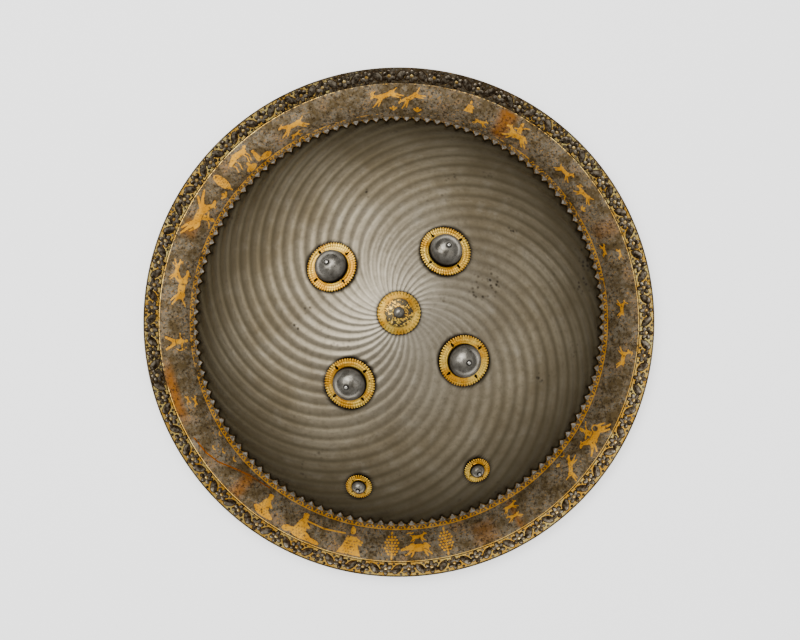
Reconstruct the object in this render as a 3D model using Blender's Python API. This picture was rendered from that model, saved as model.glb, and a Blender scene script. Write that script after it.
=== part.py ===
# Round steel buckler shield with spiral flutes, a toothed rim band and six strap bosses.
# Metres. +Z points out of the front face and +Y to the top of the shield as it is worn.
# The shield lies face up: z = 0 is the flat ring under the rim that it rests on.

import math

import bmesh
import bpy
from mathutils import Matrix, Vector

# The bowl plate, from the crown outwards: bowl, field, flat resting ring, raised border
BOWL_RADIUS = 0.1720
BOWL_RISE = 0.0700
BOWL_FULLNESS = 1.8
FIELD_WIDTH = 0.0325
REST_WIDTH = 0.0030
BORDER_WIDTH = 0.0093
BORDER_LEAN = math.radians(35.0)
PLATE = 0.0018

# Spiral flutes of the bowl
FLUTE_COUNT = 38
FLUTE_DEPTH = 0.0008
FLUTE_SWEEP = math.radians(134.0)
FLUTE_STRAIGHT_SHARE = 0.63
FLUTE_START = 0.0120
FLUTE_FULL = 0.0600
FLUTE_RUNOUT = 0.0050

# Rim band
BAND_PLATE = 0.0012
TOOTH_TIP = 0.1704
TOOTH_NOTCH = 0.1748
HEM_WIDTH = 0.0062

# The four large bosses of the hand grips and the two small ones of the shoulder strap. They were
# set out by hand: each seat has its bearing in degrees, and how far it strays from its circle.
GRIP_RADIUS = 0.0677
GRIP_SEATS = ((44.2, -0.0024), (135.4, 0.0008), (225.3, 0.0028), (315.0, -0.0012))
STRAP_RADIUS = 0.1457
STRAP_SEATS = ((247.3, 0.0008), (287.7, -0.0008))
GRIP_BOSS = {"washer": 0.0214, "cap": 0.0141, "cap_height": 0.0127, "head": 0.0021}
STRAP_BOSS = {"washer": 0.0112, "cap": 0.0060, "cap_height": 0.0056, "head": 0.0017}
WASHER_PLATE = 0.0010
CAP_WALL = 0.0010
SHANK = 0.0010
HEAD_HEIGHT = 0.0009

# Crown rosette and its knob
ROSETTE = 0.0180
ROSETTE_RISE = 0.0034
ROSETTE_PLATE = 0.0011
KNOB = 0.0046
KNOB_HEIGHT = 0.0036
KNOB_SHANK = 0.0017

# Clenched ends behind the plate, as widths beyond the shank
CLENCH_LIP = 0.0022
CLENCH_HEIGHT = 0.0010

# Clearances between pieces that touch
GAP = 0.0003
HEM_GAP = 0.0008
BACK_GAP = 0.0009
HOLE_GAP = 0.0003

# Numbers of facets
FLUTE_RINGS = 9
BAND_SIDES = 62
TOOTH_COUNT = 2 * BAND_SIDES
GRIP_SIDES = 18
STRAP_SIDES = 12
ROSETTE_SIDES = 18
KNOB_SIDES = 10
RIVET_SIDES = 8

# Radii that follow from the widths
FIELD_START = BOWL_RADIUS + FLUTE_RUNOUT
REST_INNER = BOWL_RADIUS + FIELD_WIDTH
FIELD_MIDDLE = (FIELD_START + REST_INNER) / 2
REST_OUTER = REST_INNER + REST_WIDTH
PLATE_EDGE = REST_OUTER + BORDER_WIDTH
RIM_RADIUS = PLATE_EDGE + HEM_GAP + 2 * BAND_PLATE
BACK_RINGS = [BOWL_RADIUS * share for share in (0.87, 0.65, 0.42, 0.19)]

STEEL = ("patinated_steel", (0.34, 0.32, 0.27, 1.0), 0.38)
DARK_STEEL = ("russet_steel", (0.20, 0.16, 0.12, 1.0), 0.45)
BRIGHT_STEEL = ("polished_steel", (0.50, 0.49, 0.47, 1.0), 0.25)
GILT = ("gilding", (0.80, 0.50, 0.13, 1.0), 0.30)


def clear_scene():
    for obj in list(bpy.data.objects):
        bpy.data.objects.remove(obj, do_unlink=True)


def metal(kind):
    name, colour, roughness = kind
    material = bpy.data.materials.get(name)
    if material is None:
        material = bpy.data.materials.new(name)
        material.use_nodes = True
        shader = material.node_tree.nodes["Principled BSDF"]
        shader.inputs["Base Color"].default_value = colour
        shader.inputs["Metallic"].default_value = 1.0
        shader.inputs["Roughness"].default_value = roughness
    return material


def finished_mesh(name, bm, kind):
    bmesh.ops.remove_doubles(bm, verts=bm.verts, dist=1e-6)
    bmesh.ops.recalc_face_normals(bm, faces=bm.faces)
    mesh = bpy.data.meshes.new(name)
    bm.to_mesh(mesh)
    bm.free()
    mesh.shade_smooth()
    mesh.set_sharp_from_angle(angle=math.radians(40.0))
    mesh.materials.append(metal(kind))
    return mesh


def placed(name, mesh, parent=None):
    obj = bpy.data.objects.new(name, mesh)
    bpy.context.scene.collection.objects.link(obj)
    obj.parent = parent
    return obj


# The front of the plate, through the tops of the flutes

def edge_fall():
    """Slope of the bowl where it passes under the band."""
    return BOWL_FULLNESS * BOWL_RISE / BOWL_RADIUS


def plate_height(r):
    """Height of the plate's front face at radius r."""
    if r <= BOWL_RADIUS:
        foot = PLATE + edge_fall() * FIELD_WIDTH / 2
        return foot + BOWL_RISE * (1 - (r / BOWL_RADIUS) ** BOWL_FULLNESS)
    if r <= REST_INNER:
        return PLATE + edge_fall() * (REST_INNER - r) ** 2 / (2 * FIELD_WIDTH)
    if r <= REST_OUTER:
        return PLATE
    return PLATE + math.tan(BORDER_LEAN) * (r - REST_OUTER)


def plate_slope(r):
    """Rise of the plate's front face per unit of radius, below zero where it falls outwards."""
    if r <= BOWL_RADIUS:
        return -edge_fall() * (r / BOWL_RADIUS) ** (BOWL_FULLNESS - 1)
    if r <= REST_INNER:
        return -edge_fall() * (REST_INNER - r) / FIELD_WIDTH
    return 0.0 if r <= REST_OUTER else math.tan(BORDER_LEAN)


def off_plate(r, distance):
    """The point (radius, height) at this distance in front of the plate's face."""
    slope = plate_slope(r)
    length = math.hypot(1.0, slope)
    return r - distance * slope / length, plate_height(r) + distance / length


def flute_turn(r):
    """How far a flute has swept round the bowl at radius r."""
    t = r / BOWL_RADIUS
    return -FLUTE_SWEEP * (FLUTE_STRAIGHT_SHARE * t + (1 - FLUTE_STRAIGHT_SHARE) * t**2)


def groove_depth(r):
    """Depth of the groove between two flutes at radius r."""
    swell = min(1.0, r / FLUTE_FULL)
    fade = min(1.0, max(0.0, (FIELD_START - r) / FLUTE_RUNOUT))
    return FLUTE_DEPTH * swell * fade


# Rings of vertices and the faces between them

def ring(bm, count, point, turn=0.0):
    """A ring of vertices, where point(i) gives the radius and height of vertex i."""
    verts = []
    for i in range(count):
        r, z = point(i)
        angle = turn + 2 * math.pi * i / count
        verts.append(bm.verts.new((r * math.cos(angle), r * math.sin(angle), z)))
    return verts


def even_ring(bm, count, point, turn=0.0):
    return ring(bm, count, lambda i: point, turn)


def join_rings(bm, a, b):
    """Triangles between two rings of any two sizes, whose first vertices belong together."""
    i = j = 0
    while i < len(a) or j < len(b):
        corner, across = a[i % len(a)], b[j % len(b)]
        if j == len(b) or (i < len(a) and (i + 1) * len(b) <= (j + 1) * len(a)):
            i += 1
            bm.faces.new((corner, a[i % len(a)], across))
        else:
            j += 1
            bm.faces.new((corner, b[j % len(b)], across))


def join_all(bm, rings):
    for a, b in zip(rings, rings[1:]):
        join_rings(bm, a, b)


def starting_near(verts, anchor):
    """The same ring, begun at its vertex nearest to the anchor."""
    first = min(range(len(verts)), key=lambda i: (verts[i].co.xy - anchor.co.xy).length)
    return verts[first:] + verts[:first]


# The bowl

def flute_ring_radii():
    """Radii that cut a flute into stretches of equal length."""
    steps = 40 * FLUTE_RINGS
    radii = [FLUTE_START + (BOWL_RADIUS - FLUTE_START) * k / steps for k in range(steps + 1)]
    run = [0.0]
    for inner, outer in zip(radii, radii[1:]):
        sideways = outer * (flute_turn(outer) - flute_turn(inner))
        run.append(run[-1] + math.hypot(outer - inner, sideways))
    wanted = [run[-1] * k / FLUTE_RINGS for k in range(FLUTE_RINGS + 1)]
    return [min(zip(run, radii), key=lambda pair: abs(pair[0] - length))[1] for length in wanted]


def fluted_ring(bm, r):
    """Three lines to a flute: the bottom of the groove and the two shoulders of the rib."""
    def point(i):
        return off_plate(r, 0.0 if i % 3 else -groove_depth(r))

    return ring(bm, 3 * FLUTE_COUNT, point, flute_turn(r))


def bowl_mesh():
    """One sheet: the front face out to the edge, and the back face in again to the knob's hole."""
    bm = bmesh.new()
    hole = KNOB_SHANK + HOLE_GAP
    bowl = [even_ring(bm, FLUTE_COUNT, off_plate(hole, 0.0), flute_turn(FLUTE_START))]
    bowl += [fluted_ring(bm, r) for r in flute_ring_radii()]
    border_radii = (FIELD_START, FIELD_MIDDLE, REST_INNER, REST_OUTER, PLATE_EDGE)
    border = [even_ring(bm, BAND_SIDES, off_plate(r, 0.0)) for r in border_radii]
    border += [even_ring(bm, BAND_SIDES, off_plate(r, -PLATE)) for r in border_radii[::-1]]
    border += [even_ring(bm, FLUTE_COUNT, off_plate(r, -PLATE)) for r in (*BACK_RINGS, hole)]
    join_all(bm, bowl + [starting_near(verts, bowl[-1][0]) for verts in border])
    open_edges = [edge for edge in bm.edges if edge.is_boundary]
    bmesh.ops.bridge_loops(bm, edges=open_edges)
    return finished_mesh("bowl", bm, STEEL)


def drill(target, seat, radius, name):
    """Cuts a round hole through the target, along the seat's axis."""
    bm = bmesh.new()
    bmesh.ops.create_cone(bm, cap_ends=True, segments=RIVET_SIDES, radius1=radius,
                          radius2=radius, depth=8 * PLATE)
    mesh = bpy.data.meshes.new(name)
    bm.to_mesh(mesh)
    bm.free()
    cutter = placed(name, mesh, seat)
    cutter.hide_render = True
    cutter.display_type = "WIRE"
    cut = target.modifiers.new(name, "BOOLEAN")
    cut.operation = "DIFFERENCE"
    cut.object = cutter


# The rim band

def band_mesh():
    """A pressed ring that follows the plate, with a toothed inner edge and a hem round the plate's edge."""
    bm = bmesh.new()
    front = GAP + BAND_PLATE
    back = -(PLATE + GAP)

    def toothed(distance):
        tip, notch = off_plate(TOOTH_TIP, distance), off_plate(TOOTH_NOTCH, distance)
        return ring(bm, 2 * TOOTH_COUNT, lambda i: tip if i % 2 else notch)

    def smooth(*points):
        return [even_ring(bm, BAND_SIDES, point) for point in points]

    field = (FIELD_START, FIELD_MIDDLE, REST_INNER, REST_OUTER)
    bead = BAND_PLATE / 2
    hem_in = RIM_RADIUS - HEM_WIDTH
    hem_out = RIM_RADIUS + (back - BAND_PLATE) * math.sin(BORDER_LEAN)
    top = [off_plate(r, front) for r in (*field, RIM_RADIUS)]
    lip = [
        (RIM_RADIUS, top[-1][1] - bead),
        off_plate(hem_out, back - BAND_PLATE),
        off_plate(hem_in, back - BAND_PLATE),
        off_plate(hem_in, back),
        off_plate(PLATE_EDGE + HEM_GAP, back),
        off_plate(PLATE_EDGE + HEM_GAP, GAP),
    ]
    under = [off_plate(r, GAP) for r in field[::-1]]
    rings = [toothed(front), *smooth(*top, *lip, *under), toothed(GAP)]
    join_all(bm, rings + rings[:1])
    return finished_mesh("rim_band", bm, DARK_STEEL)


# Turned pieces

def turned(name, loop, sides, kind):
    """A ring turned round the z axis from a closed outline of (radius, height) points."""
    bm = bmesh.new()
    verts = [bm.verts.new((r, 0.0, z)) for r, z in loop]
    edges = [bm.edges.new((verts[i], verts[(i + 1) % len(verts)])) for i in range(len(verts))]
    bmesh.ops.spin(bm, geom=verts + edges, cent=(0, 0, 0), axis=(0, 0, 1),
                   angle=2 * math.pi, steps=sides, use_merge=True)
    return finished_mesh(name, bm, kind)


def turned_solid(bm, outline, sides):
    """A solid turned round the z axis. The outline runs from one end on the axis to the other."""
    verts = [bm.verts.new((r, 0.0, z)) for r, z in outline]
    edges = [bm.edges.new(pair) for pair in zip(verts, verts[1:])]
    bmesh.ops.spin(bm, geom=verts + edges, cent=(0, 0, 0), axis=(0, 0, 1),
                   angle=2 * math.pi, steps=sides, use_merge=True)
    bmesh.ops.remove_doubles(bm, verts=bm.verts, dist=1e-6)


def dome_arc(radius, height, low, points):
    """Points of a quarter ellipse, from its foot at this height up to the axis, without its end."""
    steps = [math.pi / 2 * i / points for i in range(points)]
    return [(radius * math.cos(a), low + height * math.sin(a)) for a in steps]


def least_sag(r, reach):
    """How far the bowl falls away from its tangent at this reach, on its flatter side."""
    slope = plate_slope(r)
    steeper = (plate_slope(r * 1.001) - slope) / (r * 0.001)
    along = abs(steeper) / (1 + slope**2) ** 1.5
    across = abs(slope) / (r * math.hypot(1.0, slope))
    return min(along, across) * reach**2 / 2


def washer_mesh(name, boss, r, sides, kind):
    """A round plate, slightly coned so that it lies close to the bowl."""
    reach = boss["washer"]
    dish = 0.8 * least_sag(r, reach)
    hole = SHANK + HOLE_GAP
    low = GAP
    high = GAP + WASHER_PLATE
    loop = [
        (hole, low), (reach, low - dish), (reach, high - dish - WASHER_PLATE / 3),
        (reach - WASHER_PLATE / 2, high - dish), (hole, high),
    ]
    return turned(name, loop, sides, kind)


def cap_mesh(name, boss, sides, kind):
    """A hollow dome, open below, with a hole at its crown for the rivet."""
    foot = 2 * GAP + WASHER_PLATE
    hole = SHANK + HOLE_GAP
    outer = dome_arc(boss["cap"], boss["cap_height"], foot, 4)
    inner = dome_arc(boss["cap"] - CAP_WALL, boss["cap_height"] - CAP_WALL, foot, 2)
    top = foot + boss["cap_height"]
    loop = outer + [(hole, top), (hole, top - CAP_WALL)] + inner[::-1]
    return turned(name, loop, sides, kind)


def rivet_mesh(name, front, shank, sides, kind):
    """A rivet: the front outline runs from the axis to its seat, and the back end is clenched."""
    top = -(PLATE + BACK_GAP)
    low = top - CLENCH_HEIGHT
    clench = shank + CLENCH_LIP
    bm = bmesh.new()
    outline = front + [
        (shank, front[-1][1]), (shank, top), (clench, top), (clench, low), (0.0, low),
    ]
    turned_solid(bm, outline, sides)
    return finished_mesh(name, bm, kind)


def boss_rivet(name, boss, kind):
    """The rivet of a boss, with a rounded head over the cap."""
    seat = 3 * GAP + WASHER_PLATE + boss["cap_height"]
    head = boss["head"]
    front = [(0.0, seat + HEAD_HEIGHT), (head * 0.7, seat + HEAD_HEIGHT * 0.75), (head, seat)]
    return rivet_mesh(name, front, SHANK, RIVET_SIDES, kind)


def seat_at(name, r, angle):
    """An empty on the plate's front face. Its z axis is the face's normal, its x axis close to +X."""
    slope = plate_slope(r)
    outwards = Vector((math.cos(angle), math.sin(angle), 0.0))
    normal = (Vector((0, 0, 1)) - slope * outwards).normalized()
    across = (Vector((1, 0, 0)) - normal.x * normal).normalized()
    up = normal.cross(across)
    matrix = Matrix((across, up, normal)).transposed().to_4x4()
    matrix.translation = r * outwards + Vector((0, 0, plate_height(r)))
    seat = bpy.data.objects.new(name, None)
    bpy.context.scene.collection.objects.link(seat)
    seat.matrix_world = matrix
    return seat


def add_bosses(bowl, family, boss, circle, seats, sides):
    washer = washer_mesh(f"{family}_washer", boss, circle, sides, GILT)
    cap = cap_mesh(f"{family}_cap", boss, 2 * sides // 3, BRIGHT_STEEL)
    rivet = boss_rivet(f"{family}_rivet", boss, BRIGHT_STEEL)
    for number, (bearing, stray) in enumerate(seats, 1):
        seat = seat_at(f"{family}_seat_{number}", circle + stray, math.radians(bearing))
        placed(f"{family}_washer_{number}", washer, seat)
        placed(f"{family}_cap_{number}", cap, seat)
        placed(f"{family}_rivet_{number}", rivet, seat)
        drill(bowl, seat, SHANK + HOLE_GAP, f"{family}_hole_{number}")


def add_crown():
    """The gilded rosette on the crown, and the steel knob riveted through it."""
    crown = seat_at("crown", 0.0, 0.0)
    foot = GAP + plate_height(ROSETTE) - plate_height(0.0)
    top = GAP + ROSETTE_RISE
    hole = KNOB_SHANK + HOLE_GAP
    shoulder = 0.6 * ROSETTE
    shoulder_top = foot + 0.66 * (top - foot)
    loop = [
        (ROSETTE, foot), (ROSETTE, foot + 0.7 * ROSETTE_PLATE), (shoulder, shoulder_top + ROSETTE_PLATE),
        (hole, top + ROSETTE_PLATE), (hole, top), (shoulder, shoulder_top),
    ]
    placed("crown_rosette", turned("crown_rosette", loop, ROSETTE_SIDES, GILT), crown)
    seat = top + ROSETTE_PLATE + GAP
    front = [(0.0, seat + KNOB_HEIGHT)] + dome_arc(KNOB, KNOB_HEIGHT, seat, 3)[::-1]
    knob = rivet_mesh("crown_knob", front, KNOB_SHANK, KNOB_SIDES, BRIGHT_STEEL)
    placed("crown_knob", knob, crown)


def main():
    clear_scene()
    bowl = placed("bowl", bowl_mesh())
    placed("rim_band", band_mesh())
    add_bosses(bowl, "grip", GRIP_BOSS, GRIP_RADIUS, GRIP_SEATS, GRIP_SIDES)
    add_bosses(bowl, "strap", STRAP_BOSS, STRAP_RADIUS, STRAP_SEATS, STRAP_SIDES)
    add_crown()


main()
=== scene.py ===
# %% [markdown]
# # A round steel shield, dressed for its portrait
# The imported model gives every piece its place and its size. This lesson puts the fine surface on
# it: the spiral flutes of the bowl, the flowered border, the gold on the rim and the washers of
# the bosses.

# %% Load the frame
import math
import bmesh
import bpy
import numpy as np
from mathutils import Matrix, Vector
from mathutils.geometry import delaunay_2d_cdt


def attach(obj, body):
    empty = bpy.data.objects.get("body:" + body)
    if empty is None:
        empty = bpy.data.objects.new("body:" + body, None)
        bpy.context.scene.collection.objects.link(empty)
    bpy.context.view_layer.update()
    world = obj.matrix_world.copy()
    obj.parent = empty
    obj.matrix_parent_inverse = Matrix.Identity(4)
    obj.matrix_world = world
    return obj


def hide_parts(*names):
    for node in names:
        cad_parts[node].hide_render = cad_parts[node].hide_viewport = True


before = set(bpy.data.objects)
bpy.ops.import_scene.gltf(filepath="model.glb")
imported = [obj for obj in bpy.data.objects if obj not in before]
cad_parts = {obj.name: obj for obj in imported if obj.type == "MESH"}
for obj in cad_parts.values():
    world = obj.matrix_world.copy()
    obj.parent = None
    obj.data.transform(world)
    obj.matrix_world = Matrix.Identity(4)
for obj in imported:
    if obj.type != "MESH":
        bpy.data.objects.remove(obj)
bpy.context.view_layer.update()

MM = 0.001
print("pieces in the plain model:", len(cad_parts))


# %% [markdown]
# Three small helpers serve the whole lesson. One turns the hex colours of a paint chart into the
# linear numbers that Blender reckons with. One feeds the inputs of a node. The last adds a node to
# any tree, sets it and feeds it, so that a tree reads as a list of steps.

# %% Colours and nodes
def colour(code):
    """An sRGB hex colour as linear red, green, blue and alpha."""
    parts = [int(code[i:i + 2], 16) / 255 for i in (1, 3, 5)]
    linear = [c / 12.92 if c <= 0.04045 else ((c + 0.055) / 1.055) ** 2.4 for c in parts]
    return (*linear, 1.0)


def feed(tree, node, inputs):
    """Feeds a node's inputs with values, sockets or other nodes' first outputs."""
    for key, value in inputs.items():
        if isinstance(value, bpy.types.Node):
            value = value.outputs[0]
        if isinstance(value, bpy.types.NodeSocket):
            tree.links.new(value, node.inputs[key])
        else:
            node.inputs[key].default_value = value
    return node


def add(tree, kind, *values, **settings):
    """Adds a node, sets it, and feeds its inputs: in their order, or by name from one dict."""
    node = tree.nodes.new(kind if "Node" in kind else "ShaderNode" + kind)
    for name, value in settings.items():
        setattr(node, name, value)
    by_name = len(values) == 1 and isinstance(values[0], dict)
    return feed(tree, node, values[0] if by_name else dict(enumerate(values)))


print("white is", colour("#ffffff"))


# %% [markdown]
# The picture was taken from almost straight above the shield, which lies a little turned on its
# sheet. The camera stands four and a half degrees off the shield's axis, and its lens is chosen
# so that the rim fills the same part of the frame.

# %% Camera
IMAGE_WIDTH = 800
RIM_PIXELS = 255.8
RIM = 0.2200
RIM_TOP = 0.0092
SHIELD_TURN = math.radians(9.4)
CAMERA_HEIGHT = math.radians(85.5)
CAMERA_DISTANCE = 1.9
SENSOR = 36.0
SIDE_STEP = 1.1 / RIM_PIXELS * RIM


def placed(name, data):
    """A new object in the scene."""
    made = bpy.data.objects.new(name, data)
    bpy.context.scene.collection.objects.link(made)
    return made


page_up = Vector((math.sin(SHIELD_TURN), math.cos(SHIELD_TURN), 0.0))
page_right = Vector((math.cos(SHIELD_TURN), -math.sin(SHIELD_TURN), 0.0))
towards_camera = Vector((0, 0, math.sin(CAMERA_HEIGHT))) - page_up * math.cos(CAMERA_HEIGHT)
camera_up = towards_camera.cross(page_right)
target = Vector((0, 0, RIM_TOP)) + page_right * SIDE_STEP
camera_data = bpy.data.cameras.new("camera")
camera_data.sensor_width = SENSOR
camera_data.lens = SENSOR * RIM_PIXELS * CAMERA_DISTANCE / (RIM * IMAGE_WIDTH)
camera = placed("camera", camera_data)
facing = Matrix((page_right, camera_up, towards_camera)).transposed().to_4x4()
camera.matrix_world = Matrix.Translation(target + towards_camera * CAMERA_DISTANCE) @ facing
bpy.context.scene.camera = camera
print("lens:", round(camera_data.lens, 1), "mm")


# %% [markdown]
# A sheet of pale paper and soft light are the whole studio. Two broad softboxes stand above the
# page, one towards its top and one towards its left, so the bowl shows two soft streaks of light.
# A third and much weaker one lifts the right side. The room is brighter overhead than at its
# walls, which gives the curved steel something to mirror. The paper glows a little by itself, as
# a sheet on a lit table does.

# %% Studio
PAPER = 3.0
PAPER_GLOW = 1.45
SOFTBOX_SIDE = 1.1
SOFTBOX_DISTANCE = 1.7


def softbox(name, tilt, bearing, power):
    """A square light aimed at the shield. Bearing turns from the top of the page to its left."""
    tilt, bearing = math.radians(tilt), math.radians(bearing)
    side = page_up * math.cos(bearing) - page_right * math.sin(bearing)
    direction = Vector((0, 0, math.cos(tilt))) + side * math.sin(tilt)
    data = bpy.data.lights.new(name, "AREA")
    data.size = SOFTBOX_SIDE
    data.energy = power
    lamp = placed(name, data)
    lamp.matrix_world = (Matrix.Translation(target + direction * SOFTBOX_DISTANCE)
                         @ direction.to_track_quat("Z", "Y").to_matrix().to_4x4())


paper_mesh = bpy.data.meshes.new("paper")
paper_mesh.from_pydata([(-PAPER, -PAPER, 0), (PAPER, -PAPER, 0), (PAPER, PAPER, 0), (-PAPER, PAPER, 0)],
                       [], [(0, 1, 2, 3)])
paper = placed("paper", paper_mesh)
white_paper = bpy.data.materials.new("white_paper")
white_paper.use_nodes = True
feed(white_paper.node_tree, white_paper.node_tree.nodes["Principled BSDF"], {
    "Base Color": colour("#f4f4f4"), "Roughness": 0.9,
    "Emission Color": colour("#f4f4f4"), "Emission Strength": PAPER_GLOW})
paper_mesh.materials.append(white_paper)

softbox("top_softbox", 26, 14, 13.6)
softbox("left_softbox", 26, 72, 12.2)
softbox("right_softbox", 38, -108, 2.4)

world = bpy.data.worlds.new("studio")
world.use_nodes = True
bpy.context.scene.world = world
sky = world.node_tree
sky_way = add(sky, "SeparateXYZ", add(sky, "TexCoord").outputs["Generated"])
sky_ramp = add(sky, "ValToRGB", sky_way.outputs["Z"])
for stop, position, grey in zip(sky_ramp.color_ramp.elements, (0.15, 1.0), (0.46, 0.76)):
    stop.position = position
    stop.color = (grey, grey, grey, 1)
feed(sky, sky.nodes["Background"], {"Color": sky_ramp})


# %% [markdown]
# The shield is one raised plate. These rules give its height and slope at any distance from the
# axis, and they are the ones the plain model was built with: a bowl, a hollow field round it,
# a narrow flat ring that it rests on, and a border that rises outwards.

# %% Form of the plate
BOWL_RADIUS = 0.1720
BOWL_RISE = 0.0700
BOWL_FULLNESS = 1.8
FIELD_WIDTH = 0.0325
REST_WIDTH = 0.0030
BORDER_WIDTH = 0.0093
BORDER_LEAN = math.radians(35)
PLATE = 0.0018
GAP = 0.0003
REST_INNER = BOWL_RADIUS + FIELD_WIDTH
REST_OUTER = REST_INNER + REST_WIDTH
PLATE_EDGE = REST_OUTER + BORDER_WIDTH
EDGE_FALL = BOWL_FULLNESS * BOWL_RISE / BOWL_RADIUS


def plate_height(r):
    """Height of the plate's front at radius r."""
    if r <= BOWL_RADIUS:
        foot = PLATE + EDGE_FALL * FIELD_WIDTH / 2
        return foot + BOWL_RISE * (1 - (r / BOWL_RADIUS) ** BOWL_FULLNESS)
    if r <= REST_INNER:
        return PLATE + EDGE_FALL * (REST_INNER - r) ** 2 / (2 * FIELD_WIDTH)
    return PLATE + math.tan(BORDER_LEAN) * max(0.0, r - REST_OUTER)


def plate_slope(r):
    """How steeply the front rises outwards at radius r."""
    if r <= BOWL_RADIUS:
        return -EDGE_FALL * (r / BOWL_RADIUS) ** (BOWL_FULLNESS - 1)
    if r <= REST_INNER:
        return -EDGE_FALL * (REST_INNER - r) / FIELD_WIDTH
    return math.tan(BORDER_LEAN) if r > REST_OUTER else 0.0


def off_plate(r, distance):
    """The point (radius, height) at this distance in front of the plate's face."""
    slope = plate_slope(r)
    length = math.hypot(1.0, slope)
    return r - distance * slope / length, plate_height(r) + distance / length


def ramp(value, low, high):
    """Rises from 0 at one value to 1 at another."""
    return min(1.0, max(0.0, (value - low) / (high - low)))


print("crown of the plate:", round(plate_height(0) / MM, 1), "mm high")


# %% [markdown]
# Everything round on a shield like this was turned, raised or pressed round one axis: the bowl,
# the washers, the domes and the rosette. So one Geometry Nodes tree makes them all. It takes an
# outline of points, lays a grid with one row for each of them, and winds the grid round
# the axis. Three numbers on each point say how far its row is turned, how deep the flutes cut
# it and how deep they scallop its edge. Turning each row a little more than the last is what bends
# straight flutes into a spiral.

# %% Tree that turns and flutes
def new_tree(name, inputs):
    """A Geometry Nodes tree with named inputs, and the sockets that give their values."""
    tree = bpy.data.node_groups.new(name, "GeometryNodeTree")
    tree.interface.new_socket("Geometry", in_out="OUTPUT", socket_type="NodeSocketGeometry")
    tree.interface.new_socket("Geometry", in_out="INPUT", socket_type="NodeSocketGeometry")
    for label, kind, value in inputs + [("Finish", "Material", None)]:
        socket = tree.interface.new_socket(label, in_out="INPUT", socket_type="NodeSocket" + kind)
        if value is not None:
            socket.default_value = value
    return tree, {socket.name: socket for socket in add(tree, "NodeGroupInput").outputs}


def end_tree(tree, given, shape):
    """Every tree ends alike: what it made is made real and gets its finish."""
    real = add(tree, "GeometryNodeRealizeInstances", shape)
    dressed = add(tree, "GeometryNodeSetMaterial", {"Geometry": real, "Material": given["Finish"]})
    add(tree, "NodeGroupOutput", dressed)
    print("nodes in the tree", tree.name, len(tree.nodes))


turning, given = new_tree("turned_and_fluted", [
    ("Columns", "Int", 96), ("Flutes", "Int", 38), ("Sharpness", "Float", 1.0)])
outline = given["Geometry"]
rows = add(turning, "GeometryNodeAttributeDomainSize", {"Geometry": outline}).outputs["Point Count"]
last_row = add(turning, "Math", rows, 1.0, operation="SUBTRACT")
more = add(turning, "Math", given["Columns"], 1.0, operation="ADD")
grid = add(turning, "GeometryNodeMeshGrid", {"Vertices X": rows, "Vertices Y": more})
spot = add(turning, "SeparateXYZ", grid.outputs["UV Map"])
row = add(turning, "Math", spot.outputs["X"], last_row, operation="MULTIPLY")
row = add(turning, "Math", row, operation="ROUND")
held = {}
for word in ("turn", "groove", "scallop"):
    read = add(turning, "GeometryNodeInputNamedAttribute", {"Name": word}, data_type="FLOAT")
    held[word] = add(turning, "GeometryNodeSampleIndex", {
        "Geometry": outline, "Value": read, "Index": row}, data_type="FLOAT")
point = add(turning, "GeometryNodeSampleIndex", {
    "Geometry": outline, "Value": add(turning, "GeometryNodeInputPosition"), "Index": row},
    data_type="FLOAT_VECTOR")
point = add(turning, "SeparateXYZ", point)
around = add(turning, "Math", spot.outputs["Y"], 2 * math.pi, operation="MULTIPLY")
angle = add(turning, "Math", around, held["turn"], operation="ADD")
phase = add(turning, "Math", around, given["Flutes"], operation="MULTIPLY")
phase = add(turning, "Math", phase, operation="COSINE")
valley = add(turning, "Math", phase, 0.5, 0.5, operation="MULTIPLY_ADD")
valley = add(turning, "Math", valley, given["Sharpness"], operation="POWER")
deep = add(turning, "Math", valley, held["groove"], operation="MULTIPLY")
inset = add(turning, "Math", valley, held["scallop"], operation="MULTIPLY")
radius = add(turning, "Math", point.outputs["X"], inset, operation="SUBTRACT")
height = add(turning, "Math", point.outputs["Z"], deep, operation="SUBTRACT")
flat = add(turning, "CombineXYZ", {"X": radius, "Z": height})
wound = add(turning, "VectorRotate", {"Vector": flat, "Angle": angle}, rotation_type="Z_AXIS")
shaped = add(turning, "GeometryNodeSetPosition", {"Geometry": grid, "Position": wound})
for word, value in (("valley", valley), ("radius", radius)):
    shaped = add(turning, "GeometryNodeStoreNamedAttribute", {
        "Geometry": shaped, "Name": word, "Value": value}, data_type="FLOAT", domain="POINT")
end_tree(turning, given, add(turning, "GeometryNodeMergeByDistance", {"Geometry": shaped, "Distance": 1e-6}))


# %% [markdown]
# A tree works on an object through a modifier. This function gives the modifier its values, asks
# Blender for the finished mesh, and keeps that mesh in place of the tree.

# %% From tree to mesh
SHARP = math.radians(32)


def grown(name, mesh, tree, values):
    """The object that a tree grows from a mesh, as a plain mesh with no modifier left."""
    piece = placed(name, mesh)
    modifier = piece.modifiers.new(tree.name, "NODES")
    modifier.node_group = tree
    for item in tree.interface.items_tree:
        if item.in_out == "INPUT" and item.name in values:
            modifier[item.identifier] = values[item.name]
    ready = piece.evaluated_get(bpy.context.evaluated_depsgraph_get())
    made = bpy.data.meshes.new_from_object(ready, depsgraph=bpy.context.evaluated_depsgraph_get())
    piece.modifiers.clear()
    piece.data = made
    made.shade_smooth()
    made.set_sharp_from_angle(angle=SHARP)
    print(name, "has", len(made.polygons), "faces")
    return piece


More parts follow.
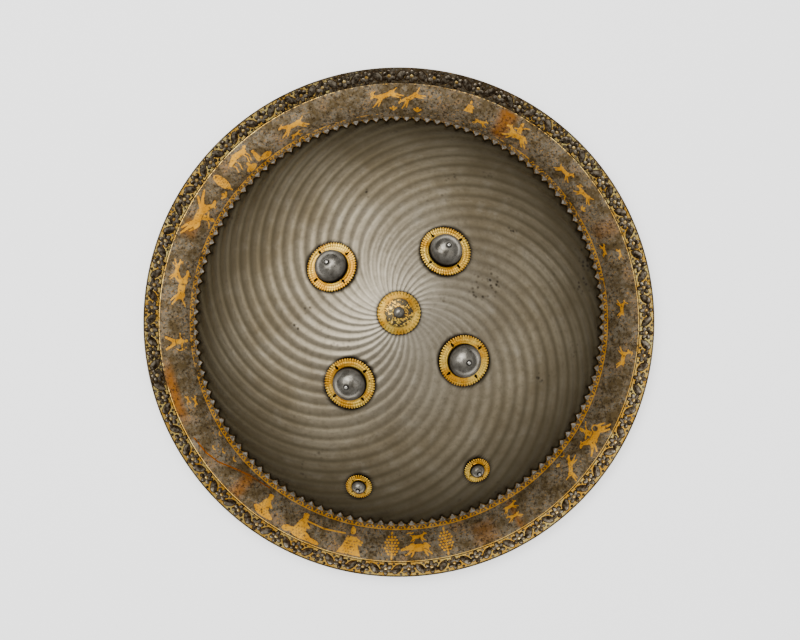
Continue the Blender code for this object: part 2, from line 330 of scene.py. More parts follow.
def outline_mesh(points, turn=None, groove=None, scallop=None):
    """An outline of (radius, height) points, with the three numbers that the turning tree reads."""
    mesh = bpy.data.meshes.new("outline")
    mesh.from_pydata([(r, 0.0, z) for r, z in points], [(i, i + 1) for i in range(len(points) - 1)], [])
    for word, rule in (("turn", turn), ("groove", groove), ("scallop", scallop)):
        values = [rule(i) if rule else 0.0 for i in range(len(points))]
        mesh.attributes.new(word, "FLOAT", "POINT").data.foreach_set("value", values)
    return mesh


def spread(start, stop, count):
    """Evenly spread values, both ends in."""
    return [start + (stop - start) * i / (count - 1) for i in range(count)]


# %% [markdown]
# Steel that has been polished, used and left for two centuries isn't one colour. The ridges of the
# flutes are rubbed silvery, the valleys keep a brown skin, and small dark pits show where rust
# has bitten. The tree lays these over one another like coats of paint, by noise at real sizes and
# by four attributes: how far a point is from the axis, how deep it lies in a valley, where pits
# crowd together, and where painted shade lies round the bosses. By the distance from the axis the
# steel is painted lighter towards the crown, partly for its polish and partly as a painted
# highlight, and darker towards the rim as painted shade.

# %% Patinated steel of the bowl
def metal_material(name, roughness):
    """A new metal and its tree, its shader and its object coordinates."""
    made = bpy.data.materials.new(name)
    made.use_nodes = True
    tree = made.node_tree
    shader = feed(tree, tree.nodes["Principled BSDF"], {"Metallic": 1.0, "Roughness": roughness})
    return made, tree, shader, add(tree, "TexCoord").outputs["Object"]


def patches(tree, place, size, detail=4.0, roughness=0.6, low=0.3, high=0.7, **more):
    """Noise whose lumps are about this size, and a mask that rises from 0 to 1 between two levels."""
    raw = add(tree, "TexNoise", {
        "Vector": place, "Scale": 1 / size, "Detail": detail, "Roughness": roughness, **more})
    return raw, add(tree, "MapRange", raw, low, high)


def painted(tree, place, skin, *coats):
    """Lays coats over a colour. A coat is its colour and the shares that are multiplied for its
    mask: a number, a node or socket, the word of an attribute, or the numbers of some patches."""
    skin = colour(skin) if isinstance(skin, str) else skin
    for over, *shares in coats:
        mask = None
        for share in shares:
            if isinstance(share, str):
                share = add(tree, "Attribute", attribute_name=share).outputs["Fac"]
            if isinstance(share, tuple):
                share = patches(tree, place, *share)[1]
            mask = share if mask is None else add(tree, "Math", mask, share, operation="MULTIPLY")
        over = colour(over) if isinstance(over, str) else over
        skin = add(tree, "Mix", {0: mask, 6: skin, 7: over}, data_type="RGBA").outputs[2]
    return skin


bowl_steel, tree, shader, place = metal_material("patinated_fluted_steel", 0.42)
radius, crowded = (
    add(tree, "Attribute", attribute_name=word).outputs["Fac"] for word in ("radius", "pitted"))
# Lighter towards the crown: real polish and a painted highlight.
polish_and_painted_highlight = add(tree, "MapRange", radius, 0.020, 0.110, 0.55, 0.0)
# Darker towards the rim: painted shade.
painted_shade_near_rim = add(tree, "MapRange", radius, 0.115, 0.176)
dirt_in_valleys = add(tree, "MapRange", radius, 0.075, 0.135, 0.26, 0.62)
cloud, cloud_mask = patches(tree, place, 0.055, 6.0, 0.62, 0.38, 0.66)
_, stray = patches(tree, place, 0.030, 3.0, 0.5, 0.60, 0.74)
stray = add(tree, "Math", stray, 0.7, operation="MULTIPLY")
pitted = add(tree, "Math", stray, crowded, operation="MAXIMUM")
pit = add(tree, "TexVoronoi", {"Vector": place, "Scale": 1 / 0.0042, "Randomness": 1.0})
pit_mask = add(tree, "MapRange", pit.outputs["Distance"], 0.12, 0.42, 1.0, 0.0)
skin = painted(
    tree, place, "#7d7058",
    ("#a0947c", cloud_mask),
    ("#b5ae9f", 0.30, (0.014, 5.0, 0.65, 0.54, 0.76)),
    # Painted highlight, with real polish: lighter towards the crown.
    ("#aca596", polish_and_painted_highlight),
    # Painted shade: darker towards the rim.
    ("#3a3325", painted_shade_near_rim),
    ("#4f4632", dirt_in_valleys, "hollow"),
    ("#5b523f", 0.40, (0.0045, 5.0, 0.68, 0.46, 0.70)),
    ("#332d25", pit_mask, pitted),
    # Painted shade round the foot of the bosses and the rosette.
    ("#221d15", "painted_shade_round_bosses"),
)
gloss = add(tree, "MapRange", cloud, 0.3, 0.7, 0.54, 0.42)
hammer, _ = patches(tree, place, 0.011, 5.0)
feed(tree, shader, {
    "Base Color": skin,
    "Roughness": add(tree, "Math", polish_and_painted_highlight, -0.16, gloss, operation="MULTIPLY_ADD"),
    "Normal": add(tree, "Bump", {"Height": hammer, "Strength": 0.6, "Distance": 0.30 * MM}),
})
print("made", bowl_steel.name)


# %% [markdown]
# The bowl is the main piece. Thirty-eight flutes start under the rosette and sweep round as they
# run outwards, and they run out to nothing under the teeth of the rim band, as far as a swage was
# driven along the back of the plate. The rows of the grid lie close together where the flutes
# show, and far apart under the rim band and behind, where the plate is plain. Stains, pits and
# the painted shade round the bosses are marked on the face only, so the back stays plain.

# %% Fluted bowl
FLUTE_COUNT = 38
FLUTE_DEPTH = 0.00068
FLUTE_SWEEP = math.radians(134)
FLUTE_STRAIGHT_SHARE = 0.63
FLUTE_FULL = 0.0600
FLUTE_RUNOUT = 0.0050
COLUMNS_PER_FLUTE = 18
FRONT_ROWS = 110
BACK_ROWS = 14
CROWN_HOLE = 0.0020
FIELD_FROM = 0.1820
GRIP_RADIUS = 0.0677
GRIP_SEATS = ((44.2, -0.0024), (135.4, 0.0008), (225.3, 0.0028), (315.0, -0.0012))
STRAP_RADIUS = 0.1457
STRAP_SEATS = ((247.3, 0.0008), (287.7, -0.0008))
# How far the washers and the rosette reach, with the painted shade round their foot.
GRIP_SHADE_REACH = 0.0222
STRAP_SHADE_REACH = 0.0112
ROSETTE_SHADE_REACH = 0.0186
# Where the steel is badly pitted: millimetres to the right and up on the page, and the radius.
PITTED = [(74, 26, 15), (67, 19, 9), (-87, -12, 7), (-63, -9, 6), (-76, 4, 5), (160, 64, 12),
          (157, 30, 10), (161, 48, 9), (120, -50, 6), (20, 96, 5), (32, 62, 4), (-28, 104, 6),
          (96, 74, 5), (44, 118, 6)]


def flute_turn(r):
    """How far a flute has swept round the bowl at radius r."""
    t = min(1.0, r / BOWL_RADIUS)
    return -FLUTE_SWEEP * (FLUTE_STRAIGHT_SHARE * t + (1 - FLUTE_STRAIGHT_SHARE) * t ** 2)


def groove_depth(r):
    """Depth of the valleys at radius r, stretched for the plate's slope."""
    fade = ramp(BOWL_RADIUS + FLUTE_RUNOUT - r, 0.0, FLUTE_RUNOUT)
    return FLUTE_DEPTH * min(1.0, r / FLUTE_FULL) * fade * math.hypot(1.0, plate_slope(r))


def marked(piece, word, rule):
    """Stores a number on each point of a piece, by its place, radius and depth in a flute."""
    data = piece.data
    deep = [0.0] * len(data.vertices)
    if "valley" in data.attributes:
        data.attributes["valley"].data.foreach_get("value", deep)
    values = [rule(vert.co, math.hypot(vert.co.x, vert.co.y), depth)
              for vert, depth in zip(data.vertices, deep)]
    data.attributes.new(word, "FLOAT", "POINT").data.foreach_set("value", values)
    return piece


def seat_places(circle, seats):
    """Where the bosses of one family stand."""
    places = []
    for bearing, stray in seats:
        r, a = circle + stray, math.radians(bearing)
        places.append(Vector((r * math.cos(a), r * math.sin(a), plate_height(r))))
    return places


front = spread(CROWN_HOLE, BOWL_RADIUS + FLUTE_RUNOUT, FRONT_ROWS)
front += spread(FIELD_FROM, REST_INNER, 5) + [REST_OUTER, PLATE_EDGE]
back = [PLATE_EDGE, REST_OUTER, REST_INNER] + spread(REST_INNER, CROWN_HOLE, BACK_ROWS)[1:]
loop = [(r, plate_height(r)) for r in front] + [off_plate(r, -PLATE) for r in back]
loop.append(loop[0])
radii = front + back + front[:1]
fluted = [True] * len(front) + [False] * len(back) + [True]
bowl_outline = outline_mesh(
    loop,
    turn=lambda i: flute_turn(radii[i]),
    groove=lambda i: groove_depth(radii[i]) if fluted[i] else 0.0,
)
bowl = grown("fluted_bowl", bowl_outline, turning, {
    "Columns": FLUTE_COUNT * COLUMNS_PER_FLUTE, "Flutes": FLUTE_COUNT, "Sharpness": 1.0,
    "Finish": bowl_steel})


def in_front(co, r):
    """1 on the worked face of the plate and 0 on its plain back."""
    return 1.0 if co.z > plate_height(r) - 0.8 * PLATE * math.hypot(1.0, plate_slope(r)) else 0.0


pit_places = [(page_right * x * MM + page_up * y * MM, size * MM) for x, y, size in PITTED]
marked(bowl, "hollow", lambda co, r, deep: deep * in_front(co, r))
marked(bowl, "pitted", lambda co, r, deep: in_front(co, r) * max(
    1 - ramp((co.xy - at.xy).length, 0.5 * size, size) for at, size in pit_places))
feet = [(at, GRIP_SHADE_REACH) for at in seat_places(GRIP_RADIUS, GRIP_SEATS)]
feet += [(at, STRAP_SHADE_REACH) for at in seat_places(STRAP_RADIUS, STRAP_SEATS)]
feet += [(Vector(), ROSETTE_SHADE_REACH)]
# Painted shade: the bowl darkens in a ring round the foot of each boss and of the rosette.
marked(bowl, "painted_shade_round_bosses", lambda co, r, deep: in_front(co, r) * max(
    1 - ramp((co.xy - at.xy).length, size - 0.6 * MM, size + 1.6 * MM) for at, size in feet))
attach(bowl, "root")
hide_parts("bowl")


# %% [markdown]
# The rim band carries everything that was drawn in gold: the figures, the pointed edging along
# the teeth, and the ground between the flowers. In damascened work like this the steel is
# cross-hatched and gold foil is rubbed into it, so it lies flush and wears away in crumbs. The
# pattern is therefore cut into the mesh as flat areas and only the colour changes across their
# edges. Gold dust left in the hatching and old rust give the bare steel its brown.

# %% Damascened steel of the band
band_steel, tree, shader, place = metal_material("russet_steel_with_gold", 0.5)
_, grey = patches(tree, place, 0.012, 7.0, 0.74, 0.42, 0.62)
speck, speck_mask = patches(tree, place, 0.0024, 4.0, 0.68, 0.50, 0.62)
ground = painted(
    tree, place, "#594a31",
    ("#7c7464", grey),
    ("#8b5a1f", 0.55, (0.024, 7.0, 0.72, 0.55, 0.72)),
    ("#8f5717", "rust"),
    ("#8a4c14", "brown"),
    ("#b78430", 0.75, (0.0016, 4.0, 0.7, 0.54, 0.62), (0.012, 3.0, 0.6, 0.40, 0.62)),
    ("#30261a", 0.80, speck_mask),
)
# Painted highlight: the border's gold is a lighter copy of the figures' foil.
foil_with_painted_highlight = painted(tree, place, "#f6b840", ("#ffec96", grey))
foil = painted(tree, place, "#bf8419", ("#dda634", grey), (foil_with_painted_highlight, "border"))
crumb, _ = patches(tree, place, 0.0030, 5.0, 0.72)
# The attribute that takes gold away is partly wear and partly painted shade.
worn_and_shaded, border = (add(tree, "Attribute", attribute_name=word).outputs["Fac"] for word in ("wear_and_shade", "border"))
kept = add(tree, "MapRange", add(tree, "Math", crumb, worn_and_shaded, operation="SUBTRACT"), -0.02, 0.02)
feed(tree, shader, {
    "Base Color": painted(tree, place, ground, (foil, kept, "gold")),
    "Roughness": add(tree, "MapRange", border, 0.0, 1.0, 0.62, 0.30),
    "Normal": add(tree, "Bump", {"Height": speck, "Strength": 0.4, "Distance": 0.15 * MM}),
})
print("made", band_steel.name)


# %% [markdown]
# The band's outline starts at the inner gold line. It runs out over the border, round the bead of
# the rim and back under the plate as a hem. The open stretch between the gold line and the
# teeth is filled afterwards with the drawn field.

# %% Outline of the band
BAND_PLATE = 0.0012
BAND_RIM = 0.21965
TOOTH_NOTCH = 0.1748
HEM_WIDTH = 0.0062
HEM_GAP = 0.0008
TEETH = 124
BAND_COLUMNS = TEETH * 6
FRONT = GAP + BAND_PLATE
BACK = -(PLATE + GAP)
LINE_INNER = 0.2066
LINE_OUTER = 0.2078
GROUND_INNER = 0.2088
GROUND_OUTER = 0.2192
BEAD = 0.0005
BEAD_FROM = 0.2196
HIDDEN_ROWS = (REST_INNER, 0.195, 0.185, TOOTH_NOTCH)

crease = REST_OUTER - FRONT * math.tan(BORDER_LEAN / 2)
hem_in = RIM - HEM_WIDTH
hem_out = BAND_RIM + (BACK - BAND_PLATE) * math.sin(BORDER_LEAN)
edge_top = off_plate(RIM, FRONT)[1]
band_loop = [off_plate(LINE_INNER, FRONT), (crease, PLATE + FRONT), off_plate(LINE_OUTER, FRONT)]
band_loop += [off_plate(r, FRONT) for r in spread(GROUND_INNER, GROUND_OUTER, 9) + [BEAD_FROM]]
band_loop += [(BAND_RIM - BEAD * (1 - math.cos(a)), edge_top - BEAD * (1 - math.sin(a)))
              for a in spread(math.radians(90), 0.0, 4)]
band_loop += [off_plate(hem_out, BACK - BAND_PLATE), off_plate(hem_in, BACK - BAND_PLATE)]
band_loop += [off_plate(hem_in, BACK), off_plate(PLATE_EDGE + HEM_GAP, BACK)]
band_loop += [off_plate(PLATE_EDGE + HEM_GAP, GAP), (crease + 0.3 * MM, PLATE + GAP)]
band_loop += [off_plate(r, GAP) for r in HIDDEN_ROWS]
band_loop += [off_plate(TOOTH_NOTCH, FRONT)]
band_edge = grown("band_edge", outline_mesh(band_loop), turning, {
    "Columns": BAND_COLUMNS, "Finish": band_steel})


# %% [markdown]
# The figures on the rim are hunters, riders, game and trees, the stock of such borders. They are
# drawn with two strokes only: an oval, and a limb that tapers between two round ends. Each figure
# is a list of strokes in millimetres, with its feet on the line x and facing right. A stroke that
# starts with a minus is bare steel left inside the gold, such as a leopard's spots.

# %% Strokes
def oval(x, y, wide, high, tilt=0.0, corners=14):
    """A closed outline of an ellipse, half as wide and high as its two axes."""
    c, s = math.cos(math.radians(tilt)), math.sin(math.radians(tilt))
    points = []
    for i in range(corners):
        a = 2 * math.pi * i / corners
        u, v = wide * math.cos(a), high * math.sin(a)
        points.append((x + u * c - v * s, y + u * s + v * c))
    return ("+", points)


def limb(x1, y1, w1, x2, y2, w2):
    """A closed outline that tapers from one round end to another. Widths are half widths."""
    way = math.atan2(y2 - y1, x2 - x1)
    points = []
    for x, y, w, start in ((x1, y1, w1, way + math.pi / 2), (x2, y2, w2, way - math.pi / 2)):
        points += [(x + w * math.cos(start + math.pi * i / 4), y + w * math.sin(start + math.pi * i / 4))
                   for i in range(5)]
    return ("+", points)


def bare(stroke):
    """The same stroke, left as steel."""
    return ("-", stroke[1])


def path(points, width):
    """Limbs one after another along a bent line."""
    return [limb(*a, width, *b, width) for a, b in zip(points, points[1:])]


def moved(strokes, y=0.0, scale=1.0, tilt=0.0, flip=False):
    """The strokes turned, scaled, mirrored and raised."""
    c, s = math.cos(math.radians(tilt)), math.sin(math.radians(tilt))
    side = -1.0 if flip else 1.0
    made = []
    for sign, points in strokes:
        turned = [(scale * (px * c - py * s), scale * (px * s + py * c)) for px, py in points]
        turned = [(side * px, y + py) for px, py in turned]
        made.append((sign, turned[::-1] if flip else turned))
    return made


def drawn(*rows):
    """Strokes as they are, or from rows of numbers: six for a limb, four or five for an oval."""
    return [row if row[0] in ("+", "-") else (limb if len(row) == 6 else oval)(*row) for row in rows]


print("an oval has", len(oval(0, 0, 1, 1)[1]), "corners")


# %% [markdown]
# Every animal comes from one recipe with a few choices, as a border painter's would: how steep the
# neck is, how far the legs reach, and whether it has spots, horns or a long tail. People are
# plain shapes too, with no faces.

# %% Figures
def beast(neck=35, reach=2.2, tail=(3.0, 1.5), ears=1.0, horns=0.0, spots=False, stout=1.0):
    """A running animal about 19 mm long and 10 mm high."""
    nx, ny = 5.4 + 4.0 * math.cos(math.radians(neck)), 6.8 + 4.0 * math.sin(math.radians(neck))
    strokes = drawn(
        (0, 5.8, 6.2, 1.9 * stout), (4.2, 6.2, 2.4, 2.2 * stout), (-4.6, 6.0, 2.5, 2.2 * stout),
        (4.6, 6.6, 1.5 * stout, nx, ny, 0.9), (nx + 1.2, ny - 0.2, 1.9, 0.95, -18),
        (4.6, 5.0, 1.0, 5.6 + reach, 2.6, 0.7), (5.6 + reach, 2.6, 0.7, 7.6 + 1.6 * reach, 1.0, 0.45),
        (3.6, 5.0, 1.0, 3.2 + reach, 2.0, 0.6), (3.2 + reach, 2.0, 0.6, 4.0 + 1.4 * reach, 0.0, 0.45),
        (-4.6, 5.4, 1.3, -5.4 - reach, 3.0, 0.8), (-5.4 - reach, 3.0, 0.7, -7.0 - 1.6 * reach, 0.8, 0.45),
        (-3.8, 5.2, 1.1, -3.6 - reach, 2.0, 0.7), (-3.6 - reach, 2.0, 0.6, -4.4 - 1.6 * reach, 0.0, 0.45),
        (-6.6, 7.0, 0.6, -6.6 - tail[0], 7.0 + tail[1], 0.4),
        (nx, ny + 0.4, 0.5, nx - 0.8 * ears, ny + 1.8 * ears, 0.35),
    )
    if horns:
        tall = ny + horns
        strokes += path([(nx + 0.4, ny + 0.6), (nx - 0.6, tall + 0.9), (nx - 2.4, tall + 1.4)], 0.4)
        strokes += path([(nx + 0.9, ny + 0.6), (nx + 0.8, tall + 1.2), (nx - 0.8, tall + 2.0)], 0.35)
    if spots:
        strokes += [bare(oval(x, 5.6 + 0.9 * math.sin(3.1 * x), 0.45, 0.45, corners=8))
                    for x in (-5.4, -4.0, -2.6, -1.2, 0.2, 1.6, 3.0, 4.4)]
    return strokes


def rider(shield=False, mount=1.12, reach=2.0):
    """A horseman, about 22 mm long and 21 mm high."""
    strokes = moved(beast(neck=48, reach=reach, tail=(2.6, -2.4), ears=0.8, stout=1.15), scale=mount)
    body = drawn(
        (0.2, 8.8, 2.1, 0.9, 13.4, 1.7), (1.3, 16.4, 1.35, 1.45), (1.3, 17.5, 1.3, 1.0, 18.6, 0.5),
        (1.2, 12.8, 0.8, 5.4, 11.2, 0.55), (0.6, 8.4, 1.0, 2.0, 3.6, 0.7), (2.0, 3.6, 0.6, 3.2, 3.2, 0.5),
        bare(limb(-1.6, 8.9, 0.3, 2.6, 8.6, 0.3)),
    )
    body += path([(0.2, 13.0), (-2.6, 16.0), (-5.6, 17.4)], 0.45)
    if shield:
        body += [oval(-4.8, 8.8, 2.9, 2.9, corners=20), bare(oval(-4.8, 8.8, 2.1, 2.1, corners=16)),
                 oval(-4.8, 8.8, 1.2, 1.2)]
    return strokes + moved(body, y=7.0 * (mount - 1.12))


def weave(strokes, x, y, wide, high, step=1.7):
    """The strokes with small bare flecks strewn over a patch of cloth."""
    flecks = []
    for j in range(int(high / step)):
        for i in range(int(wide / step)):
            flecks.append(bare(oval(x + (i + 0.5 * (j % 2)) * step, y + j * step, 0.36, 0.30, 40, corners=6)))
    return strokes + flecks


def sitter(pipe=False):
    """A seated figure in a wide robe, about 13 mm wide and 16 mm high."""
    strokes = drawn(
        (-0.6, 2.6, 6.4, 2.8, -4), (3.8, 1.6, 3.8, 1.5), (-1.2, 4.0, 3.8, -1.0, 9.2, 2.6),
        (-0.8, 12.9, 1.7, 1.8), (-1.1, 14.4, 1.8, 0.9, 8), (-0.8, 9.8, 1.1, 3.0, 7.8, 0.8),
    )
    if pipe:
        strokes += path([(-0.4, 11.2), (12.0, 10.6), (24.6, 11.8)], 0.42)
        strokes += [oval(-8.4, 2.2, 2.8, 1.9, 25), oval(8.0, 1.3, 3.8, 1.3, -6)]
    return weave(strokes, -5.2, 1.4, 9.8, 8.2)


def servant():
    """A standing figure in a long robe, holding something out, about 15 mm high."""
    robe = ("+", [(-6.2, 0.0), (6.2, 0.0), (4.2, 4.6), (2.9, 10.0), (-2.6, 10.0), (-4.0, 4.6)])
    strokes = [robe, oval(0.1, 12.9, 1.5, 1.7), limb(0.0, 14.1, 1.4, -0.4, 15.0, 0.6),
               limb(1.6, 9.2, 0.9, 6.0, 7.6, 0.5), limb(1.6, 7.8, 0.8, 5.6, 6.2, 0.5)]
    return weave(strokes, -3.0, 1.4, 6.4, 8.2, 1.5)


def archer():
    """A standing archer with the legs apart, about 17 mm wide and 20 mm high."""
    return drawn(
        (-5.0, 0.6, 0.9, -0.8, 8.5, 1.5), (5.0, 0.6, 0.9, 0.8, 8.5, 1.5), (0, 8.0, 2.3, 0, 14.6, 2.1),
        (-1.0, 14.2, 1.0, -7.4, 13.4, 0.5), (1.0, 14.2, 1.0, 7.2, 14.4, 0.5), (0, 18.4, 1.4, 1.6),
        bare(limb(-2.0, 9.0, 0.3, 2.0, 9.0, 0.3)),
        *path([(5.6, 18.0), (7.6, 15.4), (7.6, 11.6), (5.8, 9.4)], 0.4),
    )


def company():
    """Two people in spread robes under a great arched beast, about 36 mm wide."""
    strokes = [oval(-9.0, 2.8, 5.4, 2.9), oval(8.4, 2.8, 5.6, 2.9), limb(1.2, 4.6, 2.3, 1.4, 10.6, 1.6),
               oval(1.4, 13.4, 1.4, 1.5), oval(-9.0, 8.0, 1.4, 1.5), limb(-9.0, 4.0, 2.0, -9.0, 6.2, 1.6)]
    strokes += [limb(-20.0, 18.0, 1.8, -13.0, 20.6, 2.6), limb(-13.0, 20.6, 2.6, -4.6, 19.0, 2.4),
                oval(-2.0, 21.4, 2.2, 1.3, 20), limb(-4.6, 19.0, 1.8, -2.4, 21.4, 1.0)]
    for x in (-19.6, -15.4, -6.6, -4.2):
        strokes += path([(x, 18.4), (x + 1.2, 13.0), (x - 0.4, 8.4)], 0.5)
    return weave(strokes, -12.4, 1.4, 7.2, 3.6) + weave([], 4.8, 1.4, 7.2, 3.6)


def round_tree():
    """A round tree, drawn as a lattice of leaves on a short trunk."""
    leaves = []
    for j in range(7):
        for i in range(-2, 3):
            x, y = (i + 0.5 * (j % 2)) * 2.1, 3.4 + j * 1.9
            if (x / 4.9) ** 2 + ((y - 9.2) / 6.6) ** 2 < 1.05:
                leaves.append(oval(x, y, 0.90, 0.74, 25 if x > 0 else -25, corners=8))
    return leaves + drawn((0, 0.3, 0.6, 0, 3.0, 0.5), (0, 17.2, 0.7, 1.2), *path([(0, 3), (0, 16.5)], 0.24))


def cypress():
    """A tall slim tree with flecks."""
    strokes = [oval(0, 9.6, 3.1, 7.6, corners=20), limb(0, 0.3, 0.6, 0, 3.0, 0.6)]
    return strokes + [bare(oval(x + 0.6 * (j % 2), 4.6 + 1.7 * j, 0.45, 0.3, 35, corners=6))
                      for j in range(6) for x in (-1.5, 0.0, 1.3)]


def plant():
    """Three leaves that stand on the ground."""
    return drawn((0, 0.2, 0.35, 0, 2.6, 0.9), (-0.3, 0.3, 0.35, -2.0, 1.9, 0.7),
                 (0.3, 0.3, 0.35, 2.0, 1.9, 0.7))


def crescent():
    """A small crescent, as one bent stroke."""
    return path([(-2.4, 1.6), (-1.2, 0.5), (0.3, 0.2), (1.7, 0.9)], 0.5)


print("a rider takes", len(rider()), "strokes")


# %% [markdown]
# The scenes run round the rim, and each stands upright for someone who looks at the shield as it
# hangs. On one side their feet are towards the bowl, on the other towards the border. Each line
# gives a bearing in degrees, how far the feet are from the line they stand on, the figure's size
# and tilt, and the figure. A size with a minus turns it to face the other way.

# %% Where the figures stand
small = beast(neck=30, ears=1.6, tail=(1.2, 0.8))
SCENES = [
    (2.9, 8.0, -0.72, 0, beast(neck=50, ears=2.2, tail=(1.0, 1.0))),
    (16.9, 17.0, 0.45, 0, small),
    (18.8, 4.0, -0.52, 0, small),
    (33.8, 9.4, -0.86, -14, beast(neck=20, horns=1.0)),
    (42.0, 8.0, 0.84, 0, beast(neck=55, tail=(1.4, 1.6))),
    (31.2, 4.0, 1.2, 0, plant()),
    (57.4, 3.6, -1.02, 0, rider()),
    (71.7, 11.0, 0.68, 0, servant()),
    (67.8, 2.4, 0.62, 0, small),
    (86.0, 9.6, -0.98, -33, beast(neck=10, spots=True, tail=(4.2, 3.0), reach=3.0)),
    (92.7, 10.2, -1.12, -20, beast(neck=30, horns=1.8, reach=3.4)),
    (85.0, 1.0, 1.4, 0, plant()),
    (91.5, 2.0, 1.3, 0, plant()),
    (118.4, 6.4, -1.1, 0, beast(neck=35, tail=(3.0, 2.2), reach=3.0)),
    (119.0, 1.2, 0.5, 0, small),
    (131.2, 0.4, 1.0, 0, company()),
    (141.9, 2.4, 1.24, 0, cypress()),
    (144.4, 3.0, 1.5, 0, plant()),
    (152.2, 1.0, -1.16, 0, rider(mount=1.42, reach=3.0)),
    (171.6, 8.4, -1.36, 0, beast(neck=20, tail=(5.0, 2.6), stout=1.25)),
    (167.2, 4.2, -0.80, 0, beast(neck=10, horns=1.4)),
    (185.6, 3.6, 1.0, 0, archer()),
    (200.6, 10.0, 0.36, 0, small),
    (201.8, 15.0, -0.44, 0, small),
    (214.7, 12.0, 1.0, 0, crescent()),
    (216.9, 17.0, 1.0, 0, crescent()),
    (220.5, 20.0, 1.0, 0, crescent()),
    (212.7, 23.0, 1.0, 0, crescent()),
    (234.6, 1.0, 1.32, 0, sitter()),
    (245.2, 0.4, 1.46, 0, sitter(pipe=True)),
    (257.8, 0.4, 1.58, 0, servant()),
    (268.2, 0.6, 1.30, 0, round_tree()),
    (275.0, 2.8, -1.26, 0, beast(neck=-22, reach=0.8, stout=1.35, tail=(1.0, -1.0))),
    (275.0, 15.2, 0.72, 0, beast(neck=42, reach=1.2)),
    (273.0, 22.4, 1.0, 0, path([(-2.6, 0.2), (-0.8, 1.0), (1.0, 0.2), (2.8, 1.0)], 0.45)),
    (282.0, 0.6, 1.30, 0, round_tree()),
    (300.6, 7.6, -0.62, 0, small),
    (300.6, 16.0, 0.66, 0, small),
    (320.3, 7.0, 0.95, 42, beast(neck=12, spots=True, tail=(3.6, 2.6), reach=2.6)),
    (317.5, 19.6, 0.8, 0, plant()),
    (320.4, 22.6, 1.0, 0, crescent()),
    (329.4, 2.0, -1.18, 0, rider(shield=True, mount=1.22)),
    (350.4, 10.6, -0.84, 0, beast(neck=70, horns=2.4, tail=(1.2, 1.0))),
]
# A rusted line crosses the field at the lower left, where the gold has turned brown.
SWEEP = [(210.0, 3.0), (214.5, 5.0), (218.0, 8.6), (222.5, 16.5), (226.5, 21.5), (232.5, 24.4)]
print("figures:", len(SCENES))


# %% [markdown]
# The pattern is laid out flat, like the border of a carpet, with the bearing along it and the radius
# across it. A Delaunay triangulation keeps every outline as an edge and fills the space between,
# and says which outlines each triangle lies in. The flat sheet is then bent round onto the band.
# Each tooth of the crest has a gold chevron and a trefoil at its root.

# %% Drawn field
FIELD_MIDDLE = 0.193
STRIP_LINE = 0.1790
STRIP_OUTER = 0.1797
FEET_OUTER = 0.2058
FEET_INNER = 0.1803
EDGE_IN = off_plate(TOOTH_NOTCH, FRONT)[0]
EDGE_OUT = off_plate(LINE_INNER, FRONT)[0]
FEET_INWARD = (145.0, 340.0)
SWEEP_HALF = 0.65


def front_height(rho):
    """Height of the band's front at this distance from the axis."""
    r = rho
    for _ in range(6):
        slope = plate_slope(r)
        r = rho + FRONT * slope / math.hypot(1.0, slope)
    return off_plate(r, FRONT)[1]


def on_sheet(bearing, rho):
    """Millimetres along and across the flat pattern. The bearing is the one in the picture."""
    turned = math.degrees(SHIELD_TURN)
    return math.radians((bearing - turned) % 360) * FIELD_MIDDLE / MM, rho / MM


outlines = []
for bearing, foot, size, tilt, strokes in SCENES:
    inward = not FEET_INWARD[0] < bearing < FEET_INWARD[1]
    along, across = on_sheet(bearing, FEET_INNER + foot * MM if inward else FEET_OUTER - foot * MM)
    way = -1.0 if inward else 1.0
    for sign, points in moved(strokes, scale=abs(size), tilt=tilt, flip=size < 0):
        outlines.append((sign, [(along + way * x, across - way * y) for x, y in points]))
for a, b in zip(SWEEP, SWEEP[1:]):
    start, stop = (on_sheet(bearing, FEET_OUTER - foot * MM) for bearing, foot in (a, b))
    outlines.append(("rust", limb(*start, SWEEP_HALF, *stop, SWEEP_HALF)[1]))
pitch = 2 * math.pi * FIELD_MIDDLE / MM / TEETH
for i in range(TEETH):
    middle = (i + 0.02) * pitch if i == 0 else i * pitch
    chevron = [(-0.44, 178.6), (-0.34, 177.0), (0.0, 175.0), (0.34, 177.0), (0.44, 178.6)]
    chevron += [(x * 0.60, y + 1.3 if abs(x) < 0.1 else y + 0.1) for x, y in chevron[::-1]]
    if 0 < i:
        outlines.append(("+", [(middle + x * pitch, y) for x, y in chevron]))
        outlines.append(oval(middle, 177.9, 0.8, 0.7, corners=8))

points, rims = [], []
length = 2 * math.pi * FIELD_MIDDLE / MM
rows = [(EDGE_IN, 1), (STRIP_LINE, 1), (STRIP_OUTER, 1), (EDGE_OUT, 1)]
rows += [(rho, 2) for rho in spread(STRIP_OUTER + 0.0022, EDGE_OUT - 0.0020, 10)]
for rho, step in rows:
    points += [Vector((length * i / BAND_COLUMNS, rho / MM)) for i in range(0, BAND_COLUMNS + 1, step)]
for sign, outline in outlines:
    area = sum(a[0] * b[1] - b[0] * a[1] for a, b in zip(outline, outline[1:] + outline[:1]))
    first = len(points)
    points += [Vector(p) for p in outline]
    rim = list(range(first, len(points)))
    rims.append(rim if area > 0 else rim[::-1])
flat_points, _, flat_faces, _, _, owners = delaunay_2d_cdt(points, [], rims, 0, 1e-5)
print("the flat pattern has", len(flat_points), "points and", len(flat_faces), "faces")


# %% [markdown]
# Gold lies wherever an outline says so, along a fine line beside the teeth and on the ground of
# the flowers. How much of it is taken away along the edges differs round the shield: most at the
# top of the page and least at the bottom. This is partly wear of the gold and partly painted
# shade, darker where the border faces away from the light. The figures are worn alike all round,
# and rust has bloomed in a few places.

